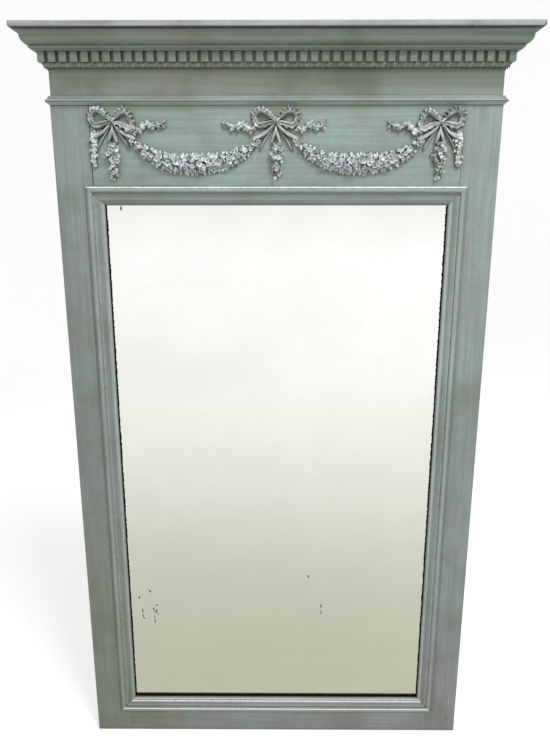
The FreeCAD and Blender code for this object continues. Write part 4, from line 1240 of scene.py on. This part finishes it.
@dataclass
class Sprig:
    """A heap of leaves and flowers pressed over a core, in millimetres."""

    parts: CastParts
    seed: int
    leaf_length: float = 11.0
    flower_width: float = 12.5
    flower_share: float = 0.5
    # parts per millimetre of half width, degrees that they reach down to either side, and how far
    # inside the core's edge the outermost are rooted
    crowding: float = 0.35
    arc: float = 80.0
    inset: float = 4.2

    def __post_init__(self) -> None:
        """Start this heap's own run of chance."""
        self.chance = random.Random(self.seed)
        self.pieces: list[Piece] = []

    def put(self, model: Piece, place: Point, normal: Vector, tip: Vector, size: Point) -> None:
        """Press one part on.

        Args:
            model: The part.
            place: Across, how far off the panel, and up, in millimetres.
            normal: The way its face looks.
            tip: The way its tip points.
            size: Length, width and thickness in millimetres.
        """
        across, lift, up = place
        where = Matrix.Translation((across * MM, (PANEL_Y - lift) * MM, up * MM))
        scale = Matrix.Diagonal((*(length * MM for length in size), 1))
        self.pieces.append(copy_to(model, where @ facing(normal, tip) @ scale))

    def any_way(self) -> Vector:
        """A direction in the panel picked by chance."""
        turn = self.chance.uniform(0, 2 * math.pi)
        return Vector((math.cos(turn), 0, math.sin(turn)))

    def heap(self, place: Spot, along: Vector, radius: float, height: float,
             crowd: float = 1.0) -> None:
        """Cover one round of the core with parts.

        Args:
            place: Across and up of the core's middle.
            along: The way the garland runs, in the panel.
            radius: Half width of the core.
            height: How far the core stands off the panel.
            crowd: How many parts, against the usual number.
        """
        chance = self.chance
        side = Vector((-along.z, 0, along.x))
        count = max(2, round(radius * self.crowding * crowd))
        scale = 0.5 + 0.5 * min(radius / 12, 1)
        reach = max(radius - self.inset * scale, 0.5)
        for index in range(count):
            swing = math.radians(-self.arc + 2 * self.arc
                                 * (index + chance.uniform(0.15, 0.85)) / count)
            out = math.cos(swing)
            sideways = math.sin(swing)
            centre = (place[0] + side.x * reach * sideways + chance.uniform(-2, 2),
                      max(height * out * chance.uniform(0.72, 1.12), 1.6),
                      place[1] + side.z * reach * sideways + chance.uniform(-1.5, 1.5))
            normal = Vector((side.x * sideways, -out - 0.35, side.z * sideways)).normalized()
            normal = (normal + along * chance.uniform(-0.45, 0.45)).normalized()
            if chance.random() < self.flower_share and abs(sideways) < 0.85:
                wide = self.flower_width * scale * chance.uniform(0.8, 1.15)
                self.put(self.parts.flower, (centre[0], centre[1] + 1.4, centre[2]), normal,
                         self.any_way(), (wide, wide, wide * 0.9))
            else:
                long = self.leaf_length * scale * chance.uniform(0.8, 1.2)
                outward = side * (2.2 * sideways) + self.any_way()
                self.put(self.parts.leaf, centre, normal - Vector((0, 0.3, 0)), outward,
                         (long, long * 0.8, long * 0.9))


def low_core(node: str) -> Piece:
    """A copy of a garland's node pressed closer to the panel, so that its parts stand over it.

    Args:
        node: The garland's node.

    Returns:
        The pressed core.
    """
    edit_whole(whole_copy(node))
    bpy.ops.transform.resize(value=(1, PRESSED, 1), center_override=(0, PANEL_Y * MM, 0))
    return leave_edit()


LOOP = (
    Ribbon(((-38, 6, 9, 5), (-37, -2, 11, 5), (-31, -7.5, 11.5, 5.4), (-22, -7, 12, 6.4),
            (-12, -4, 9.5, 8), (-3, -1, 5, 9)), crown=2.2, slant=1.4, ruffle=3.4, waves=5,
           groove=1.0, outer=-1),
    Ribbon(((-2, 1, 4, 9), (-9, 7, 7.5, 10), (-16, 13.5, 9.5, 10.5), (-23.5, 17.5, 10, 10),
            (-31, 17, 10.5, 8.5), (-36.5, 12, 11, 7), (-38.5, 5, 9.5, 5.5)), crown=2.6,
           slant=-1.8, ruffle=6.5, waves=8.5, groove=0.8, steps=7, outer=-1),
)
LOW_LOOP = (
    Ribbon(((30, 8, 8, 5), (34.5, -1, 11, 5.4), (36, -9, 13, 6), (30, -12.5, 13, 6.6),
            (20, -8, 12, 7.5), (10, -4, 8, 9), (2, -2, 5, 9.5)), crown=2.2, slant=1.4,
           ruffle=4.4, waves=6, groove=1.0, outer=1),
    Ribbon(((2, 1, 4, 9), (9, 7, 7.5, 9.5), (16, 13.5, 9.5, 10.5), (23, 16, 10, 10),
            (29, 12, 10, 8.5), (32, 4, 9, 6.5)), crown=2.6, slant=1.8, ruffle=6.5, waves=7.5,
           groove=0.8, steps=7, outer=1),
)
TAILS = (
    Ribbon(((-2, -3, 3, 8), (-8.6, -10.5, 5, 8), (-17, -18.5, 7, 7.5), (-28, -25, 8, 7),
            (-38, -29, 7.5, 6.5), (-41, -30, 5, 5)), crown=2.4, slant=1.6, groove=0.7),
    Ribbon(((-3, -6, 2.5, 5), (-11, -18, 4.5, 5), (-20, -31, 5, 4.6), (-27, -43, 5, 4),
            (-30, -52, 2, 2.5)), crown=1.8, slant=1.2),
    Ribbon(((-0.5, -6, 2, 5), (-1, -14, 4, 6.5), (-3.5, -24, 6.5, 7.5), (-8, -36, 4, 6)),
           crown=2.6, slant=1.2, groove=0.6),
)
STREAMER = Ribbon(((-38, -10, 5, 5), (-45, -14, 8, 6), (-54, -10, 9, 6), (-61, -4, 8, 6.5),
                   (-69, -8, 9, 6.5), (-77, -10, 9, 6), (-85, -6, 7, 5.5), (-89, -6, 4, 4.5)),
                  crown=2.2, ruffle=3.4, waves=6, steps=4)
SHORT_STREAMER = Ribbon(((34, -14, 5, 5), (42, -18, 9, 6), (51, -14, 10, 6.5),
                         (58, -7, 9, 7), (66, -6, 9, 6.5), (74, -9, 9, 6),
                         (82, -7, 7, 5.5), (90, -4, 4, 4.5)),
                        crown=2.2, ruffle=3.4, waves=6, steps=4)


def mirrored(ribbons: tuple[Ribbon, ...]) -> tuple[Ribbon, ...]:
    """The same ribbons on the other side of their knot."""
    return tuple(ribbon.mirrored() for ribbon in ribbons)


@dataclass
class Casting:
    """A casting glued to the frieze panel, with the seed of its own run of chance."""

    paints: Paintbox
    parts: CastParts
    node: str
    seed: int


@dataclass
class Bow(Casting):
    """One tied bow: a knot, two loops with crinkled edges, and tails."""

    knot: Spot
    loops: tuple[tuple[Ribbon, ...], ...]
    tails: tuple[Ribbon, ...] = TAILS + mirrored(TAILS)
    # the knot's half sizes and how far its middle stands off the panel
    knot_size: Point = (5.2, 6.0, 5.6)
    knot_lift: float = 5.5
    # share of the tips left out along a loop's edge
    bare_share: float = 0.35

    def build(self) -> Piece:
        """Lay the ribbons and tie the knot.

        Returns:
            The bow.
        """
        ribbons = [ribbon for loop in self.loops for ribbon in loop]
        solids = [ribbon.build(self.knot) for ribbon in (*ribbons, *self.tails)]
        solids += [self.tie(), *self.crinkles()]
        return stand_for(self.node, "ribbon", solids, self.paints.ribbon)

    def tie(self) -> Piece:
        """The knot: a small pinched cushion.

        Returns:
            The knot's solid.
        """
        deselect_all()
        bpy.ops.mesh.primitive_uv_sphere_add(segments=16, ring_count=10, radius=1.0)
        bpy.ops.object.mode_set(mode="EDIT")
        scale_where(lambda at: abs(at.x) < 0.45, (1, 1, 0.8), (0, 0, 0))
        shape = leave_edit()
        place = Vector((self.knot[0], PANEL_Y - self.knot_lift, self.knot[1])) * MM
        size = Matrix.Diagonal((*(length * MM for length in self.knot_size), 1))
        shape.data.transform(Matrix.Translation(place) @ size)
        return shape

    def crinkles(self) -> list[Piece]:
        """Small folded tips along the outer edge of each loop.

        Returns:
            The tips.
        """
        sprig = Sprig(self.parts, self.seed)
        for low, high in self.loops:
            whole = [*low.points, *high.points]
            middle = (sum(p[0] for p in whole) / len(whole), sum(p[1] for p in whole) / len(whole))
            for across, up, width, lift in smooth_line(list(high.points), 3)[5:]:
                if sprig.chance.random() < self.bare_share:
                    continue
                out = Vector((across - middle[0], 0, up - middle[1])).normalized()
                reach = width * sprig.chance.uniform(0.0, 0.2)
                rim = (self.knot[0] + across + out.x * reach, lift - 1.4,
                       self.knot[1] + up + out.z * reach)
                normal = Vector((0, -1, 0)) + out * sprig.chance.uniform(-0.2, 0.35)
                long = sprig.chance.uniform(4.2, 7.0)
                tip = out + sprig.any_way() * 0.9
                sprig.put(self.parts.leaf, rim, normal, tip, (long, long * 1.1, long))
        for turn in (25, 62, 118, 155):
            tip = Vector((math.cos(math.radians(turn)), 0, math.sin(math.radians(turn))))
            sprig.put(self.parts.leaf, (self.knot[0], 9.0, self.knot[1] + 1), Vector((0, -1, 0.3)),
                      tip, (9.0, 4.6, 7.0))
        return sprig.pieces


@dataclass
class Spray(Casting):
    """One streamer beside a bow: a crinkled ribbon with small leaves along it."""

    knot: Spot
    ribbon: Ribbon

    def build(self) -> Piece:
        """Lay the ribbon and its leaves.

        Returns:
            The streamer.
        """
        sprig = Sprig(self.parts, self.seed)
        for across, up, _, lift in self.ribbon.points:
            for side in (-1, 1):
                place = (self.knot[0] + across, max(lift - 1.6, 1), self.knot[1] + up + side * 1.6)
                normal = Vector((0, -1, side * sprig.chance.uniform(0, 0.7)))
                tip = Vector((0, 0, side)) + sprig.any_way() * 0.9
                long = sprig.chance.uniform(7.0, 10.0)
                sprig.put(self.parts.leaf, place, normal, tip, (long, long * 0.75, long))
        solids = [self.ribbon.build(self.knot), *sprig.pieces]
        return stand_for(self.node, "leafy", solids, self.paints.ribbon)


@dataclass
class Swag(Casting):
    """One garland of leaves and flowers hung between two bows, in millimetres."""

    middle: float
    half_span: float = 113.0
    end_height: float = 1271.0
    sag: float = 39.0
    thick: float = 16.0
    thin: float = 4.5
    height: float = 12.0
    step: float = 5.6
    # how sharply the line falls and the garland thins towards its ends
    fall: float = 2.6
    taper: float = 1.5
    # the line's length against half its span
    slack: float = 2.3

    def line(self, share: float) -> Point:
        """The core at a share of the span.

        Args:
            share: -1 at the left end, 1 at the right end.

        Returns:
            Across, up and radius.
        """
        across = self.middle + share * self.half_span
        up = self.end_height - self.sag * (1 - abs(share) ** self.fall)
        radius = self.thick + (self.thin - self.thick) * abs(share) ** self.taper
        return across, up, radius

    def build(self) -> Piece:
        """Heap the parts over the core, and poke flat leaves out at its edges.

        Returns:
            The swag.
        """
        sprig = Sprig(self.parts, self.seed)
        count = round(self.slack * self.half_span / self.step)
        for index in range(count + 1):
            share = -1 + 2 * index / count
            across, up, radius = self.line(share)
            ahead = self.line(min(share + 0.02, 1.02))
            along = Vector((ahead[0] - across, 0, ahead[1] - up)).normalized()
            height = self.height * (0.55 + 0.45 * radius / self.thick)
            sprig.heap((across, up), along, radius, height)
            if index % 2 == 0 and radius > 7:
                self.poke(sprig, (across, up), along, radius)
        return stand_for(self.node, "garland", [low_core(self.node), *sprig.pieces],
                         self.paints.casting)

    @staticmethod
    def poke(sprig: Sprig, place: Spot, along: Vector, radius: float) -> None:
        """One flat leaf out beneath the garland and, nine times in ten, one above.

        Args:
            sprig: The heap it belongs to.
            place: Across and up of the core's middle.
            along: The way the garland runs.
            radius: Half width of the core.
        """
        chance = sprig.chance
        down = Vector((along.z, 0, -along.x))
        for side, share, lift in ((1, 1.0, 3.4), (-1, 0.9, 5.5)):
            if chance.random() > share:
                continue
            root = (place[0] + side * down.x * radius * 0.8 + chance.uniform(-2, 2), lift,
                    place[1] + side * down.z * radius * 0.8)
            tip = down * side + along * chance.uniform(-0.8, 0.8)
            long = (chance.uniform(8, 11) if side > 0 else chance.uniform(7, 9.5)) * (
                0.6 + 0.4 * radius / 16)
            sprig.put(sprig.parts.leaf, root, Vector((0, -1, 0)), tip,
                      (long, long * 0.7, long * 0.5))


@dataclass
class Pendant(Casting):
    """One bunch hung under a knot: a pair of leaves over a head that narrows to a tail."""

    middle: float
    top: float = 1266.0
    bottom: float = 1206.0
    thick: float = 13.0
    height: float = 10.0
    # how far the bunch sways from its middle, and the turn from one round to the next
    sway: float = 2.5
    sway_turn: float = 1.7
    # share of the way down, and half width there
    rounds: tuple[Spot, ...] = (
        (0.02, 5.0), (0.1, 9.0), (0.2, 12.0), (0.3, 12.5), (0.4, 10.5), (0.5, 8.0), (0.6, 7.0),
        (0.7, 6.5), (0.8, 5.5), (0.9, 4.5), (0.97, 3.5))

    def build(self) -> Piece:
        """Heap the parts down the core.

        Returns:
            The pendant.
        """
        sprig = Sprig(self.parts, self.seed, leaf_length=10.0, flower_width=12.0)
        for index, (share, radius) in enumerate(self.rounds):
            up = self.top + (self.bottom - self.top) * share
            across = self.middle + self.sway * math.sin(index * self.sway_turn)
            sprig.heap((across, up), Vector((0, 0, -1)), radius,
                       self.height * (0.6 + 0.4 * radius / self.thick), crowd=1.15)
        for side in (-1, 1):
            sprig.put(self.parts.leaf, (self.middle, 3, self.top - 2), Vector((0, -1, 0)),
                      Vector((side, 0, 0.7)), (11, 6.5, 9))
        return stand_for(self.node, "bunch", [low_core(self.node), *sprig.pieces],
                         self.paints.casting)


@dataclass
class Drop(Casting):
    """One narrow fall of bell-shaped leaves at an end of the panel, in millimetres."""

    top: Spot
    bottom: Spot
    bells: int = 6
    # how much of the fall the bells' roots reach down, and how far they sit to either side
    rooted_share: float = 0.86
    stagger: float = 1.4
    longest: float = 11.5
    shortest: float = 9.0

    def build(self) -> Piece:
        """Hang the bells under one another.

        Returns:
            The drop.
        """
        sprig = Sprig(self.parts, self.seed)
        for index in range(self.bells):
            share = index / (self.bells - 1)
            across = self.top[0] + (self.bottom[0] - self.top[0]) * share
            up = self.top[1] + (self.bottom[1] - self.top[1]) * share * self.rooted_share
            across += (-1) ** index * self.stagger
            long = self.longest - (self.longest - self.shortest) * share
            for side in (-1, 0, 1):
                lift = 4.6 if side == 0 else 3.2
                size = long * (1 if side == 0 else 0.8) * sprig.chance.uniform(0.85, 1.1)
                tip = Vector((side * 0.75 + sprig.chance.uniform(-0.3, 0.3), 0, -1))
                sprig.put(self.parts.leaf, (across + side * 1.6, lift, up), Vector((0, -1, 0.25)),
                          tip, (size, size * 0.62, size * 0.6))
            sprig.put(self.parts.bud, (across, 2.5, up), Vector((0, -1, 0)), Vector((0, 0, 1)),
                      (5.5, 5.5, 5))
        return stand_for(self.node, "bells", [whole_copy(self.node), *sprig.pieces],
                         self.paints.casting)


@dataclass
class Festoon:
    """All the cast ornament of the frieze panel."""

    paints: Paintbox

    def build(self) -> list[Piece]:
        """Build bows, streamers, swags, pendants and drops from left to right.

        Returns:
            The castings.
        """
        parts = CastParts()
        shared = (self.paints, parts)
        left, centre, right = (-295.0, 1305.5), (-1.0, 1305.0), (294.5, 1304.0)
        castings = (
            Bow(*shared, "bow_left", 3, left, (LOOP, LOW_LOOP)),
            Bow(*shared, "bow_centre", 5, centre, (LOOP, mirrored(LOOP))),
            Bow(*shared, "bow_right", 8, right, (mirrored(LOOP), mirrored(LOW_LOOP))),
            Spray(*shared, "spray_left", 11, left, SHORT_STREAMER),
            Spray(*shared, "spray_centre_left", 12, centre, STREAMER),
            Spray(*shared, "spray_centre_right", 13, centre, STREAMER.mirrored()),
            Spray(*shared, "spray_right", 14, right, SHORT_STREAMER.mirrored()),
            Swag(*shared, "swag_left", 21, -148.0),
            Swag(*shared, "swag_right", 22, 148.5),
            Drop(*shared, "drop_left", 41, (-328.5, 1287), (-330.8, 1233)),
            Drop(*shared, "drop_right", 42, (325.0, 1286), (331.5, 1230)),
            Pendant(*shared, "pendant_left", 31, -296.0),
            Pendant(*shared, "pendant_centre", 32, 1.0),
            Pendant(*shared, "pendant_right", 33, 296.0),
        )
        pieces = [casting.build() for casting in castings]
        parts.clear()
        return pieces


# ---- glass, back and hangers ---------------------------------------------------------------------
@dataclass
class Glazing:
    """The mirror plate with the slips, blocks and boards that hold it."""

    paints: Paintbox
    easing: Easing = Easing(width=1.8)

    def build(self) -> list[Piece]:
        """Dress the glass and its slips, and ease the backboards.

        Returns:
            The new pieces.
        """
        dress(self.paints.mirror, "mirror_plate")
        dress(self.paints.blacking, "glazing_slip_left", "glazing_slip_right",
              "glazing_slip_top", "glazing_slip_bottom")
        dress(self.paints.bare_upright, "glazing_blocks")
        dress(self.paints.bare_across, "tenon_pegs", "board_dowels")
        dress(self.paints.iron, "plank_nails", "top_board_nails")
        return [eased_node(f"back_plank_{where}", wood, self.easing)
                for where, wood in self.paints.planks.items()]


def dress(material: Material, *names: str) -> None:
    """Give CAD nodes one material in every slot.

    Args:
        material: The finish.
        names: The nodes.
    """
    for name in names:
        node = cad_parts[name]
        if not node.material_slots:
            node.data.materials.append(material)
        for held in node.material_slots:
            held.material = material


@dataclass
class Hangers:
    """Strap hangers, their rings and screws."""

    paints: Paintbox

    def build(self) -> list[Piece]:
        """Dress the metal.

        Returns:
            The new pieces: none.
        """
        dress(self.paints.steel, "hanger_strap_left", "hanger_strap_right", "hanger_ring_left",
              "hanger_ring_right", "hanger_screws")
        return []


# ---- studio --------------------------------------------------------------------------------------
@dataclass
class Studio:
    """A pale seamless sweep, soft lights and the camera."""

    # the camera's place in metres, its lens and sensor in millimetres, its turn in degrees
    eye: Point = (0.0045, -1.2157, 1.1297)
    lens: float = 30.0
    sensor: float = 36.0
    pitch: float = 76.4
    yaw: float = 0.33
    # the lights: name, place in metres, side in metres and watts, and what they are aimed at
    lights: tuple[tuple[str, Point, float, float], ...] = (
        ("key", (1.7, -2.5, 4.5), 1.5, 270.0), ("fill", (-1.4, -2.6, 1.9), 1.2, 18.0),
        ("back", (0.6, 2.6, 2.6), 2.4, 30.0))
    aim: Point = (0.0, 0.0, 0.8)
    surround: float = 0.62
    # the sweep in metres: half width, height, and radius of the curve where it rises
    sweep_reach: float = 5.0
    sweep_height: float = 5.0
    sweep_curve: float = 1.6
    sweep_sides: int = 96
    curve_steps: int = 16
    sweep_grey: Colour = (0.4, 0.4, 0.4)
    sweep_glow: float = 0.48

    def build(self) -> None:
        """Set the sweep, the lights, the world and the camera."""
        self.sweep()
        for light in self.lights:
            self.light(*light)
        self.world()
        self.camera()

    def sweep(self) -> None:
        """A round floor whose edge curves up into a wall all round."""
        deselect_all()
        bpy.ops.mesh.primitive_circle_add(vertices=self.sweep_sides, radius=self.sweep_reach,
                                          fill_type="NGON")
        floor = bpy.context.active_object
        floor.name = "studio_sweep"
        edit_whole(floor)
        bpy.ops.mesh.extrude_region_move(
            TRANSFORM_OT_translate={"value": (0, 0, self.sweep_height)})
        bpy.ops.mesh.delete(type="ONLY_FACE")
        bpy.ops.mesh.select_all(action="SELECT")
        bpy.ops.mesh.normals_make_consistent(inside=True)
        bpy.ops.object.mode_set(mode="OBJECT")
        curve = floor.modifiers.new("curve", "BEVEL")
        curve.width = self.sweep_curve
        curve.segments = self.curve_steps
        curve.limit_method = "ANGLE"
        curve.angle_limit = math.radians(60)
        bpy.ops.object.modifier_apply(modifier=curve.name)
        bpy.ops.object.shade_smooth()
        board = NodeBoard("sweep_white")
        board.give("Base Color", self.sweep_grey)
        board.give("Roughness", 0.9)
        board.give("Emission Color", (1.0, 1.0, 1.0))
        board.give("Emission Strength", self.sweep_glow)
        floor.data.materials.append(board.material)

    def light(self, name: str, place: Point, size: float, power: float) -> None:
        """One soft square light aimed at the mirror.

        Args:
            name: The light's name.
            place: Where it hangs.
            size: Its side.
            power: Its watts.
        """
        lamp = bpy.data.lights.new(name, "AREA")
        lamp.size = size
        lamp.energy = power
        holder = bpy.data.objects.new(name, lamp)
        holder.location = place
        aim = Vector(self.aim) - Vector(place)
        holder.rotation_euler = aim.to_track_quat("-Z", "Y").to_euler()
        holder.visible_glossy = False
        holder.visible_camera = False
        bpy.context.scene.collection.objects.link(holder)

    def world(self) -> None:
        """An even pale surround."""
        world = bpy.data.worlds.new("surround")
        world.use_nodes = True
        ground = world.node_tree.nodes["Background"]
        ground.inputs["Color"].default_value = (1.0, 1.0, 1.0, 1)
        ground.inputs["Strength"].default_value = self.surround
        bpy.context.scene.world = world

    def camera(self) -> None:
        """The camera, at the photograph's viewing angle."""
        lens = bpy.data.cameras.new("camera")
        lens.lens = self.lens
        lens.sensor_width = self.sensor
        holder = bpy.data.objects.new("camera", lens)
        holder.location = self.eye
        holder.rotation_euler = (math.radians(self.pitch), 0, math.radians(self.yaw))
        bpy.context.scene.collection.objects.link(holder)
        bpy.context.scene.camera = holder
        bpy.context.scene.view_settings.view_transform = "Standard"


def main() -> None:
    """Build every sub-assembly in order, report each piece's triangles and set up the studio."""
    logging.basicConfig(level=logging.INFO, format="%(name)s: %(message)s")
    paints = Paintbox()
    for assembly in (Carcass(paints), Cornice(paints), Festoon(paints), Glazing(paints),
                     Hangers(paints)):
        for piece in assembly.build():
            piece.data.calc_loop_triangles()
            LOG.info("%s: %d triangles", piece.name, len(piece.data.loop_triangles))
    Studio().build()


if __name__ == "__main__":
    main()
